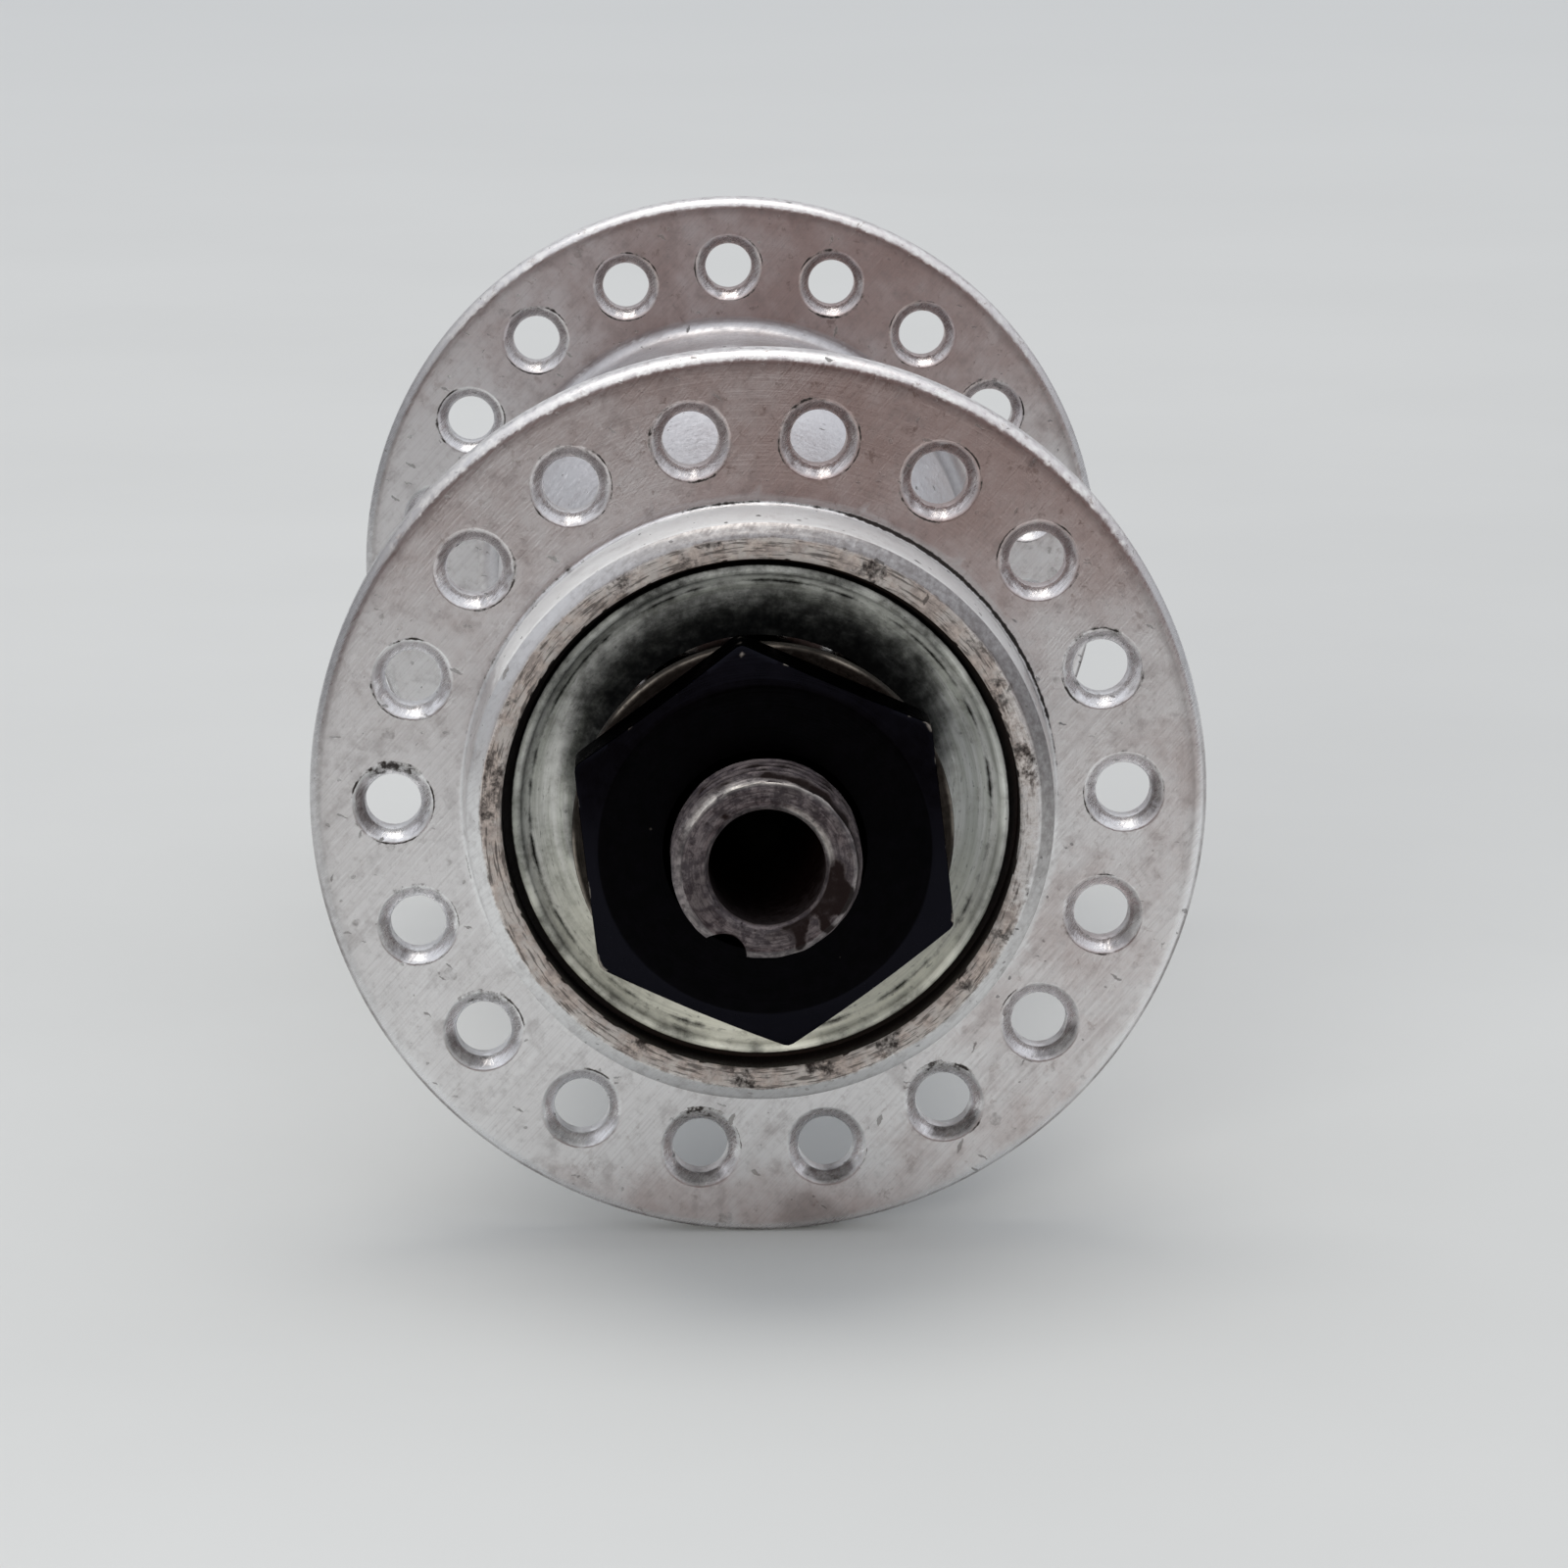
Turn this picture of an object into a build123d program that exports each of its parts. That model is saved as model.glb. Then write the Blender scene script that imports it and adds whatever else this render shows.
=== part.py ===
from build123d import *
import math
import os

# Bicycle front hub: an aluminium shell that spins on two rows of loose balls round a hollow axle.
# Millimetres. The axle lies along Y, the origin is at the middle of the hub and +Z is up.
# Sections are drawn with two distances: out from the axle's line, then along it from the middle.

# Axle and its thread
over_locknut = 100.0  # between the outer faces of the two locknuts, the gap of the fork
axle_stub = 4.0  # axle past each locknut, which sits in the fork end
thread_diameter = 9.0
thread_pitch = 1.0
pitch_line_ratio = 0.6495  # a sixty-degree thread's pitch diameter lies this many pitches under its crests
axle_bore = 5.5  # for the skewer
axle_end_chamfer = 0.45
axle_bore_chamfer = 0.2
keyway_radius = 1.1
keyway_depth = 0.9
keyway_length = 26.0
keyway_angle = -116.0

# Locknuts and keyed washers
locknut_flats = 17.0
locknut_sides = 6
locknut_thickness = 4.0
locknut_face_diameter = 15.8
locknut_chamfer_angle = 25.0
locknut_mouth = 0.6  # countersink at both mouths of the thread
locknut_turn = {"left": 36.7, "right": 11.0}
washer_diameter = 18.3
washer_thickness = 1.2
washer_edge = 0.2

# Bearings
ball_diameter = 4.7625  # three sixteenths of an inch
balls_per_row = 10
ball_gap = 0.37  # between neighbouring balls
ball_row_inset = 1.4  # the balls roll this far inside the flange's middle plane
race_relief = 0.17  # how much wider the races are curved than the balls
contact_angle = 45.0
cup_wall = 1.15
cup_floor = 1.3
cup_reach = 3.5  # from the balls' plane to the cup's outer end
cone_nose = 1.4
cone_shoulder_inset = 0.7
cone_flats = 13.0
cone_flats_length = 3.4
bearing_edge = 0.3

# Dust caps
cap_sheet = 0.5
cap_step = 0.23  # the cap is this much wider than the cup, in radius
cap_height = 2.45
cap_crease_inset = 0.4  # from the lip's inner edge in to the crease round the dish
cap_crease_drop = 0.55
cap_dish_depth = 1.05
cap_dish_sag = 0.3  # how far the dish is hollowed below a straight cone

# Shell
flange_spacing = 72.0
flange_diameter = 44.2
flange_thickness = 2.4
flange_rim_round = 0.65
spoke_circle = 36.0
spokes_per_flange = 18
spoke_hole = 2.75
spoke_countersink = 3.95
spoke_turn = 0.7
waist_diameter = 22.0
waist_length = 18.0
barrel_wall = 2.2
housing_wall = 2.1
housing_length = 4.0
neck_fillet = 1.1
boss_rim = 1.0
boss_chamfer_width = 0.72
boss_chamfer_height = 0.6
boss_draft = 0.24  # the boss is this much wider at its root, in radius
boss_root_fillet = 0.3
lip_recess = 1.15  # the cap's lip lies this far below the boss's face
mouth_depth = 2.4
mouth_edge = 0.15

# Clearances
thread_gap = 0.02
race_gap = 0.05
press_gap = 0.01
washer_gap = 0.1
tab_gap = 0.1
crest_gap = 0.2
cap_hole_gap = 0.7
cap_groove = 0.43

# Stations along the axle, out from the middle
locknut_face = over_locknut / 2
axle_end = locknut_face + axle_stub
locknut_seat = locknut_face - locknut_thickness
washer_seat = locknut_seat - washer_thickness
flange_middle = flange_spacing / 2
flange_inner = flange_middle - flange_thickness / 2
flange_outer = flange_middle + flange_thickness / 2
ball_row = flange_middle - ball_row_inset
cup_end = ball_row + cup_reach
cap_lip = cup_end + cap_height
boss_face = cap_lip + lip_recess

# Radii of the thread and the bearings
thread_radius = thread_diameter / 2
pitch_radius = (thread_diameter - pitch_line_ratio * thread_pitch) / 2
ball_radius = ball_diameter / 2
ball_circle_radius = (ball_diameter + ball_gap) / 2 / math.sin(math.pi / balls_per_row)
race_radius = ball_radius + race_relief
race_shift = race_relief - race_gap
race_shift_out = race_shift * math.cos(math.radians(contact_angle))
race_shift_along = race_shift * math.sin(math.radians(contact_angle))
cup_race_centre = (ball_circle_radius - race_shift_out, ball_row + race_shift_along)
cone_race_centre = (ball_circle_radius + race_shift_out, ball_row - race_shift_along)
cup_race_depth = cup_race_centre[0] + race_radius
cup_radius = cup_race_depth + cup_wall
cup_seat = cup_race_centre[1] - race_radius - cup_floor
cone_nose_radius = cone_race_centre[0] - race_radius
cone_radius = cone_race_centre[0] - cone_shoulder_inset
cap_radius = cup_radius + cap_step
mouth_radius = cap_radius + cap_groove

# Each end's section plane has its second direction pointing out of the hub,
# and its face plane looks out of the hub
section_planes = {
    "left": Plane(origin=(0, 0, 0), x_dir=(1, 0, 0), z_dir=(0, 0, -1)),
    "right": Plane.XY,
}
face_planes = {
    "left": Plane.XZ,
    "right": Plane(origin=(0, 0, 0), x_dir=(1, 0, 0), z_dir=(0, 1, 0)),
}
# Turns are counted from +X towards +Z. The right end's face plane runs the other way round.
turn_signs = {"left": 1, "right": -1}

os.makedirs("parts", exist_ok=True)

# Hub shell: barrel, two drilled flanges and the two end bosses, one aluminium piece
waist_radius = waist_diameter / 2
housing_radius = cup_radius + housing_wall
housing_end = flange_inner - neck_fillet
housing_start = housing_end - housing_length
waist_end = waist_length / 2
flare_middle = ((waist_radius + housing_radius) / 2, (waist_end + housing_start) / 2)
boss_face_radius = mouth_radius + boss_rim
boss_top_radius = boss_face_radius + boss_chamfer_width
boss_root_radius = boss_top_radius + boss_draft
mouth_floor = boss_face - mouth_depth
shell_bore_radius = waist_radius - barrel_wall
rim_radius = flange_diameter / 2
rim_start = rim_radius - flange_rim_round
rim_inner = flange_inner + flange_rim_round
rim_outer = flange_outer - flange_rim_round

with BuildPart() as hub_shell:
    with BuildSketch(Plane.XY):
        with BuildLine():
            Line((waist_radius, 0), (waist_radius, waist_end))
            TangentArc((waist_radius, waist_end), flare_middle, tangent=(0, 1))
            TangentArc((housing_radius, housing_start), flare_middle, tangent=(0, -1))
            Line((housing_radius, housing_start), (housing_radius, housing_end))
            TangentArc(
                (housing_radius, housing_end),
                (housing_radius + neck_fillet, flange_inner),
                tangent=(0, 1),
            )
            Line((housing_radius + neck_fillet, flange_inner), (rim_start, flange_inner))
            TangentArc((rim_start, flange_inner), (rim_radius, rim_inner), tangent=(1, 0))
            Line((rim_radius, rim_inner), (rim_radius, rim_outer))
            TangentArc((rim_radius, rim_outer), (rim_start, flange_outer), tangent=(0, 1))
            Line((rim_start, flange_outer), (boss_root_radius + boss_root_fillet, flange_outer))
            TangentArc(
                (boss_root_radius + boss_root_fillet, flange_outer),
                (boss_root_radius, flange_outer + boss_root_fillet),
                tangent=(-1, 0),
            )
            Polyline(
                (boss_root_radius, flange_outer + boss_root_fillet),
                (boss_top_radius, boss_face - boss_chamfer_height),
                (boss_face_radius, boss_face),
                (mouth_radius + mouth_edge, boss_face),
                (mouth_radius, boss_face - mouth_edge),
                (mouth_radius, mouth_floor),
                (cap_radius + press_gap, mouth_floor),
                (cap_radius + press_gap, cup_end),
                (cup_radius + press_gap, cup_end),
                (cup_radius + press_gap, cup_seat),
                (shell_bore_radius, cup_seat),
                (shell_bore_radius, 0),
            )
            mirror(about=Plane.XZ)
        make_face()
    revolve(axis=Axis.Y)

    # Spoke holes: the right flange's lie half a step on from the left's
    spoke_step = 360 / spokes_per_flange
    for flange, turn in ((flange_middle, spoke_turn), (-flange_middle, spoke_turn + spoke_step / 2)):
        with Locations(Plane.XZ.offset(flange)):
            with PolarLocations(spoke_circle / 2, spokes_per_flange, start_angle=turn):
                Cylinder(spoke_hole / 2, flange_thickness, mode=Mode.SUBTRACT)
    full_circles = hub_shell.edges().filter_by(GeomType.CIRCLE).filter_by(lambda edge: edge.is_closed)
    hole_edges = full_circles.group_by(SortBy.RADIUS)[0]
    chamfer(hole_edges, (spoke_countersink - spoke_hole) / 2)

hub_shell.part.label = "hub_shell"
export_step(hub_shell.part, "parts/hub_shell.step")

# Axle: hollow, its crests showing only on the stubs. Under the cones and nuts, and in between,
# it is drawn at the thread's pitch diameter, which is also the size of the rod it was rolled from.
# The crests begin inside the locknut's countersink, just clear of it.
nut_bore = pitch_radius + thread_gap
stub_start = locknut_face - (nut_bore + locknut_mouth - thread_radius - crest_gap)
keyway_centre = thread_radius - keyway_depth + keyway_radius

with BuildPart() as axle:
    with BuildSketch(Plane.XY):
        with BuildLine():
            Polyline(
                (axle_bore / 2, 0),
                (axle_bore / 2, axle_end - axle_bore_chamfer),
                (axle_bore / 2 + axle_bore_chamfer, axle_end),
                (thread_radius - axle_end_chamfer, axle_end),
                (thread_radius, axle_end - axle_end_chamfer),
                (thread_radius, stub_start),
                (pitch_radius, stub_start),
                (pitch_radius, 0),
            )
            mirror(about=Plane.XZ)
        make_face()
    revolve(axis=Axis.Y)
    for end in (axle_end, -axle_end):
        with BuildSketch(Plane.XZ.offset(end)):
            with PolarLocations(keyway_centre, 1, start_angle=keyway_angle):
                Circle(keyway_radius)
        extrude(amount=-math.copysign(keyway_length, end), mode=Mode.SUBTRACT)

axle.part.label = "axle"
export_step(axle.part, "parts/axle.step")

for end, section in section_planes.items():
    face_plane = face_planes[end]
    turn_sign = turn_signs[end]

    # Bearing cup: hardened ring pressed against the shoulder in the shell
    with BuildPart() as cup:
        with BuildSketch(section):
            with BuildLine():
                Polyline(
                    (cup_race_centre[0], cup_race_centre[1] - race_radius),
                    (cup_race_centre[0], cup_seat),
                    (cup_radius - bearing_edge, cup_seat),
                    (cup_radius, cup_seat + bearing_edge),
                    (cup_radius, cup_end),
                    (cup_race_depth + bearing_edge, cup_end),
                    (cup_race_depth, cup_end - bearing_edge),
                    (cup_race_depth, cup_race_centre[1]),
                )
                TangentArc(
                    (cup_race_depth, cup_race_centre[1]),
                    (cup_race_centre[0], cup_race_centre[1] - race_radius),
                    tangent=(0, -1),
                )
            make_face()
        revolve(axis=Axis.Y)
    cup.part.label = f"{end}_cup"
    export_step(cup.part, f"parts/{end}_cup.step")

    # Cone: screwed onto the axle, its race faces the cup's, with two flats for a thin spanner
    cone_bore = pitch_radius + thread_gap
    shoulder_rise = math.sqrt(race_radius**2 - cone_shoulder_inset**2)
    with BuildPart() as cone:
        with BuildSketch(section):
            with BuildLine():
                Polyline(
                    (cone_nose_radius, cone_race_centre[1]),
                    (cone_nose_radius, cone_race_centre[1] - cone_nose + bearing_edge),
                    (cone_nose_radius - bearing_edge, cone_race_centre[1] - cone_nose),
                    (cone_bore, cone_race_centre[1] - cone_nose),
                    (cone_bore, washer_seat),
                    (cone_radius - bearing_edge, washer_seat),
                    (cone_radius, washer_seat - bearing_edge),
                    (cone_radius, cone_race_centre[1] + shoulder_rise),
                )
                TangentArc(
                    (cone_nose_radius, cone_race_centre[1]),
                    (cone_radius, cone_race_centre[1] + shoulder_rise),
                    tangent=(0, 1),
                )
            make_face()
        revolve(axis=Axis.Y)
        with BuildSketch(face_plane.offset(washer_seat)):
            Circle(cone_radius)
            Rectangle(2 * cone_radius, cone_flats, mode=Mode.SUBTRACT)
        extrude(amount=-cone_flats_length, mode=Mode.SUBTRACT)
    cone.part.label = f"{end}_cone"
    export_step(cone.part, f"parts/{end}_cone.step")

    # Keyed washer: its tab sits in the axle's keyway and keeps the cone from turning with the nut
    with BuildPart() as washer:
        with BuildSketch(face_plane.offset(washer_seat)):
            Circle(washer_diameter / 2)
            Circle(thread_radius + washer_gap, mode=Mode.SUBTRACT)
            with PolarLocations(keyway_centre, 1, start_angle=keyway_angle * turn_sign):
                Circle(keyway_radius - tab_gap)
        extrude(amount=washer_thickness)
        washer_rims = washer.edges().filter_by(GeomType.CIRCLE).group_by(SortBy.RADIUS)[-1]
        chamfer(washer_rims, washer_edge)
    washer.part.label = f"{end}_washer"
    export_step(washer.part, f"parts/{end}_washer.step")

    # Locknut: hexagon with its outer corners turned down to a round face
    corner_radius = locknut_flats / 2 / math.cos(math.pi / locknut_sides)
    corner_drop = (corner_radius - locknut_face_diameter / 2) * math.tan(math.radians(locknut_chamfer_angle))
    with BuildPart() as locknut:
        with BuildSketch(face_plane.offset(locknut_seat)):
            RegularPolygon(
                locknut_flats / 2,
                locknut_sides,
                major_radius=False,
                rotation=locknut_turn[end] * turn_sign,
            )
        extrude(amount=locknut_thickness)
        with BuildSketch(section):
            with BuildLine():
                Polyline(
                    (nut_bore, locknut_seat + locknut_mouth),
                    (nut_bore + locknut_mouth, locknut_seat),
                    (corner_radius, locknut_seat),
                    (corner_radius, locknut_face - corner_drop),
                    (locknut_face_diameter / 2, locknut_face),
                    (nut_bore + locknut_mouth, locknut_face),
                    (nut_bore, locknut_face - locknut_mouth),
                    close=True,
                )
            make_face()
        revolve(axis=Axis.Y, mode=Mode.INTERSECT)
    locknut.part.label = f"{end}_locknut"
    export_step(locknut.part, f"parts/{end}_locknut.step")

    # Dust cap: pressed sheet, a skirt pressed into the boss, a rounded lip and a dish round the cone
    lip_top = (cap_radius - cap_sheet / 2, cap_lip)
    lip_inner = (cap_radius - cap_sheet, cap_lip - cap_sheet / 2)
    crease = (lip_inner[0] - cap_crease_inset, lip_inner[1] - cap_crease_drop)
    dish_hole = (cone_radius + cap_hole_gap, crease[1] - cap_dish_depth)
    dish_middle = ((crease[0] + dish_hole[0]) / 2, (crease[1] + dish_hole[1]) / 2 - cap_dish_sag)
    with BuildPart() as dust_cap:
        with BuildSketch(section):
            with BuildLine():
                Line((cap_radius, cup_end), (cap_radius, lip_inner[1]))
                ThreePointArc((cap_radius, lip_inner[1]), lip_top, lip_inner)
                Line(lip_inner, crease)
                ThreePointArc(crease, dish_middle, dish_hole)
                Line(dish_hole, (dish_hole[0], dish_hole[1] - cap_sheet))
                ThreePointArc(
                    (dish_hole[0], dish_hole[1] - cap_sheet),
                    (dish_middle[0], dish_middle[1] - cap_sheet),
                    (crease[0], crease[1] - cap_sheet),
                )
                Polyline(
                    (crease[0], crease[1] - cap_sheet),
                    (lip_inner[0], lip_inner[1] - cap_sheet),
                    (lip_inner[0], cup_end),
                    (cap_radius, cup_end),
                )
            make_face()
        revolve(axis=Axis.Y)
    dust_cap.part.label = f"{end}_dust_cap"
    export_step(dust_cap.part, f"parts/{end}_dust_cap.step")

    # Loose balls, evenly spread round the row
    for number in range(balls_per_row):
        with BuildPart() as ball:
            with Locations(face_plane.offset(ball_row)):
                with PolarLocations(ball_circle_radius, 1, start_angle=number * 360 / balls_per_row):
                    Sphere(ball_radius)
        ball.part.label = f"{end}_ball_{number + 1:02d}"
        export_step(ball.part, f"parts/{end}_ball_{number + 1:02d}.step")
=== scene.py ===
# %% [markdown]
# # Bicycle front hub, dressed round its solids
#
# The frame holds the hub's solids at their real size. This script gives those that show their
# final shape and finish, then adds the stage, the light and the camera. Lengths are worked out
# in millimetres, as a hub is drawn, and turned to metres when a mesh is made.

# %% Frame
import math
from functools import partial

import bmesh
import bpy
import numpy as np
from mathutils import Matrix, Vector


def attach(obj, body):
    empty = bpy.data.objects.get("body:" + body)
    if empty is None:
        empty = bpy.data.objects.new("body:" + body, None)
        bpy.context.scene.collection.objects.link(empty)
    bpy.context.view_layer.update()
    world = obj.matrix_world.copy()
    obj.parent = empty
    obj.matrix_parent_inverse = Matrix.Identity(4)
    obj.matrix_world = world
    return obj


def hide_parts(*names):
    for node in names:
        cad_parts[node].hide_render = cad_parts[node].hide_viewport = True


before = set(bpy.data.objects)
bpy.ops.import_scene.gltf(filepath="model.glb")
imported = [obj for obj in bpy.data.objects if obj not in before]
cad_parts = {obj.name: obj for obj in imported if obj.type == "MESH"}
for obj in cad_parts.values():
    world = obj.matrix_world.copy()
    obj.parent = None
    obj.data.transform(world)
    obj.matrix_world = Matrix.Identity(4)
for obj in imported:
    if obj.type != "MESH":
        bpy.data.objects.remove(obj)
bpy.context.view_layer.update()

scene = bpy.context.scene
MM = 0.001

# %% [markdown]
# ## Sizes
#
# The finished pieces have to lie where the solids lie, so their sizes are those of the hub's
# drawing. Distances out from the axle's line are radii. Distances along it are stations, counted
# from the middle of the hub, so one set of values serves both ends.

# %% Sizes of the hub
axle_end = 54.0
thread_radius = 4.5
pitch_radius = 4.175
thread_pitch = 1.0
bore_radius = 2.75
end_chamfer = 0.45
bore_chamfer = 0.2
keyway_radius = 1.1
keyway_centre = 4.7
keyway_angle = math.radians(-116)
keyway_length = 26.0
tab_radius = 1.0

locknut_face = 50.0
locknut_seat = 46.0
locknut_flats = 17.0
locknut_face_radius = 7.9
locknut_slope = math.tan(math.radians(25))
nut_bore = 4.195
nut_mouth = 0.6
locknut_turns = {"left": math.radians(36.7), "right": math.radians(11.0)}

washer_radius = 9.15
washer_bore = 4.6
washer_seat = 44.8
washer_edge = 0.2

cap_radius = 12.152
cap_sheet = 0.5
cap_foot = 38.1
cap_lip = 40.55
cap_crease = (11.252, 39.75)
cap_hole = (8.389, 38.7)
cap_sag = 0.3

waist_radius, waist_end = 11.0, 9.0
neck_radius, neck_start, neck_fillet = 14.022, 29.7, 1.1
flange_middle, flange_inner, flange_outer = 36.0, 34.8, 37.2
flange_radius = 22.1
rim_round = 0.65
boss_root, boss_tip, boss_fillet = 14.542, 14.306, 0.3
boss_chamfer, boss_end = 41.04, 41.7
mouth_radius, mouth_floor = 12.582, 39.3
cap_seat_radius = cap_radius + 0.01
cup_seat_radius, cup_floor = 11.932, 30.829
shell_bore = 8.8

spoke_circle = 18.0
spoke_hole = 1.375
spoke_countersink = 1.975
holes_per_flange = 18
hole_step = math.radians(20)
hole_turns = {-1: math.radians(0.7), 1: math.radians(10.7)}

end_signs = {"left": -1, "right": 1}

# %% [markdown]
# ## Helpers for shapes
#
# Nearly every part of a hub is turned on a lathe, so its surface is a profile carried round the
# axle. A whole surface is one array of points, and four neighbouring points make a face. Sheets
# that meet share their border points, which are merged, so the mesh is one closed skin.


# %% Points round the axle
def turned(radii, stations, angles):
    """Points of a turned surface: x is radius times cos angle, y the station, z radius times sin angle.
    Radii and stations are given for each row, or for each row and angle."""
    radii, stations = (values[:, None] if np.ndim(values) == 1 else values for values in (radii, stations))
    radii, stations, angles = np.broadcast_arrays(radii, stations, angles)
    return np.stack([radii * np.cos(angles), stations, radii * np.sin(angles)], -1)


def spun(section, sign, angles):
    """Points of a profile carried round the axle, at the end with that sign."""
    return turned(section[:, 0], sign * section[:, 1], angles)


def polar(points):
    """Radius and angle round the axle, and distance along it from the hub's middle."""
    return np.hypot(points[:, 0], points[:, 2]), np.arctan2(points[:, 2], points[:, 0]), np.abs(points[:, 1])


def arc(centre, radius, start, end, steps):
    """Profile points on an arc: centre plus radius times (cos, sin) of angles from start to end, in degrees."""
    angles = np.radians(np.linspace(start, end, steps + 1))
    return np.array(centre) + radius * np.stack([np.cos(angles), np.sin(angles)], -1)


def line(start, *stops):
    """Profile points on straight lines from corner to corner: each stop is a corner's radius and station and
    the number of steps on the way to it."""
    points = [np.array([start], float)]
    for *stop, steps in stops:
        share = np.linspace(0, 1, steps + 1)[1:, None]
        points.append(points[-1][-1] * (1 - share) + np.array(stop) * share)
    return np.concatenate(points)


def profile(*parts):
    """Profile parts joined end to end, without the points that they share."""
    points = np.concatenate(parts)
    return points[np.r_[True, np.linalg.norm(np.diff(points, axis=0), axis=1) > 1e-6]]


def round_angles(steps, reach, extra):
    """Evenly spaced angles round the axle, and extra ones up to reach degrees on both sides of the keyway."""
    close = keyway_angle + np.radians(np.linspace(-reach, reach, extra))
    return np.unique(np.round(np.r_[np.linspace(-np.pi, np.pi, steps, endpoint=False), close], 6))


# %% [markdown]
# Worn metal is never quite regular. A cheap smooth random field is a sum of plane waves with
# random directions and phases: it needs no lookup table, works on a whole array of points at
# once, and gives the same result each run because its seed is fixed.


# %% Random fields and soft limits
def drift(points, size, seed, waves=24):
    """A smooth random number for each point, about -1 to 1, with features about size millimetres wide."""
    chance = np.random.default_rng(seed)
    ways = chance.normal(size=(waves, 3))
    ways /= np.linalg.norm(ways, axis=1)[:, None] * 2 * size * chance.uniform(0.7, 1.5, (waves, 1))
    phases = chance.uniform(0, 2 * np.pi, waves)
    return np.sin(points @ ways.T * 2 * np.pi + phases).sum(-1) * math.sqrt(2 / waves) / 1.6


def ramp(value, low, high):
    """0 below low, 1 above high, and a smooth step between."""
    share = np.clip((value - low) / (high - low), 0, 1)
    return share * share * (3 - 2 * share)


def band(value, middle, width):
    """1 at the middle, fading on both sides: e to the power of minus (distance / width) squared."""
    return np.exp(-(((value - middle) / width) ** 2))


def towards(angle, degrees, low, high):
    """1 on the side at an angle in degrees, 0 behind: a ramp of the cosine of the angle from there."""
    return ramp(np.cos(angle - math.radians(degrees)), low, high)


# %% From points to a mesh
def make_piece(name, sheets, body, replaced, wear, sharp):
    """A closed mesh from sheets of points in millimetres, each rows by columns, whose last column joins
    its first. wear is a function of the points that returns named numbers, which the materials read."""
    faces, start = [], 0
    for rows, columns, _ in (sheet.shape for sheet in sheets):
        index = start + np.arange(rows * columns).reshape(rows, columns)
        index = np.concatenate([index, index[:, :1]], 1)
        corners = [index[:-1, :-1], index[:-1, 1:], index[1:, 1:], index[1:, :-1]]
        faces.append(np.stack(corners, -1).reshape(-1, 4))
        start += rows * columns
    points = np.concatenate([sheet.reshape(-1, 3) for sheet in sheets])

    # Points in one cell of two micrometres are one point. Faces that shrink to a line go
    cells = np.round(points / 2e-3).astype(np.int64)
    _, first, where = np.unique(cells, axis=0, return_index=True, return_inverse=True)
    points, faces = points[first], where.reshape(-1)[np.concatenate(faces)]
    kept = faces != np.roll(faces, -1, 1)
    sizes = kept.sum(1)
    loops, sizes = faces[sizes >= 3][kept[sizes >= 3]], sizes[sizes >= 3]

    mesh = bpy.data.meshes.new(name)
    for part, count, label, values in (
        (mesh.vertices, len(points), "co", (points * MM).astype(np.float32).ravel()),
        (mesh.loops, len(loops), "vertex_index", loops.astype(np.int32)),
        (mesh.polygons, len(sizes), "loop_start", np.r_[0, np.cumsum(sizes)[:-1]].astype(np.int32)),
    ):
        part.add(count)
        part.foreach_set(label, values)
    mesh.update(calc_edges=True)
    mesh.validate()

    skin = bmesh.new()
    skin.from_mesh(mesh)
    bmesh.ops.recalc_face_normals(skin, faces=skin.faces)
    open_edges = sum(not edge.is_manifold for edge in skin.edges)
    skin.to_mesh(mesh)
    skin.free()

    for label, values in wear(points).items():
        mesh.attributes.new(label, "FLOAT", "POINT").data.foreach_set("value", values.astype(np.float32))
    mesh.shade_smooth()
    mesh.set_sharp_from_angle(angle=math.radians(sharp))
    piece = bpy.data.objects.new(name, mesh)
    scene.collection.objects.link(piece)
    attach(piece, body)
    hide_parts(replaced)
    print(f"{name}: {len(points)} points, {int((sizes - 2).sum())} triangles, {open_edges} open edges")
    return piece


# %% [markdown]
# ## Hub shell
#
# The real shell is forged aluminium, turned all over and drilled for 18 spokes in each flange. The
# turned bands are easy: one profile goes round the axle. A grid round the axle can't have round
# holes in it, so each flange face is cut into 18 sectors, and in each a grid runs from the
# sector's border in to its hole, down the countersink and through the bore to the other face.

# %% Columns and the turned bands
columns_per_sector = 16
shell_columns = columns_per_sector * holes_per_flange
shell_angles = hole_turns[-1] + 2 * np.pi * np.arange(shell_columns) / shell_columns

face_inside = 15.12  # the neck's fillet ends here on the inner face
boss_inside = boss_root + boss_fillet  # the boss's root fillet ends here on the outer face
face_outside = flange_radius - rim_round

# The flare from waist to neck is two arcs, hollow then full, that meet half-way
flare_rise, flare_run = 1.51, (neck_start - waist_end) / 2
flare_radius = (flare_rise**2 + flare_run**2) / (2 * flare_rise)
flare_sweep = math.degrees(math.atan2(flare_run, flare_radius - flare_rise))

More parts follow.
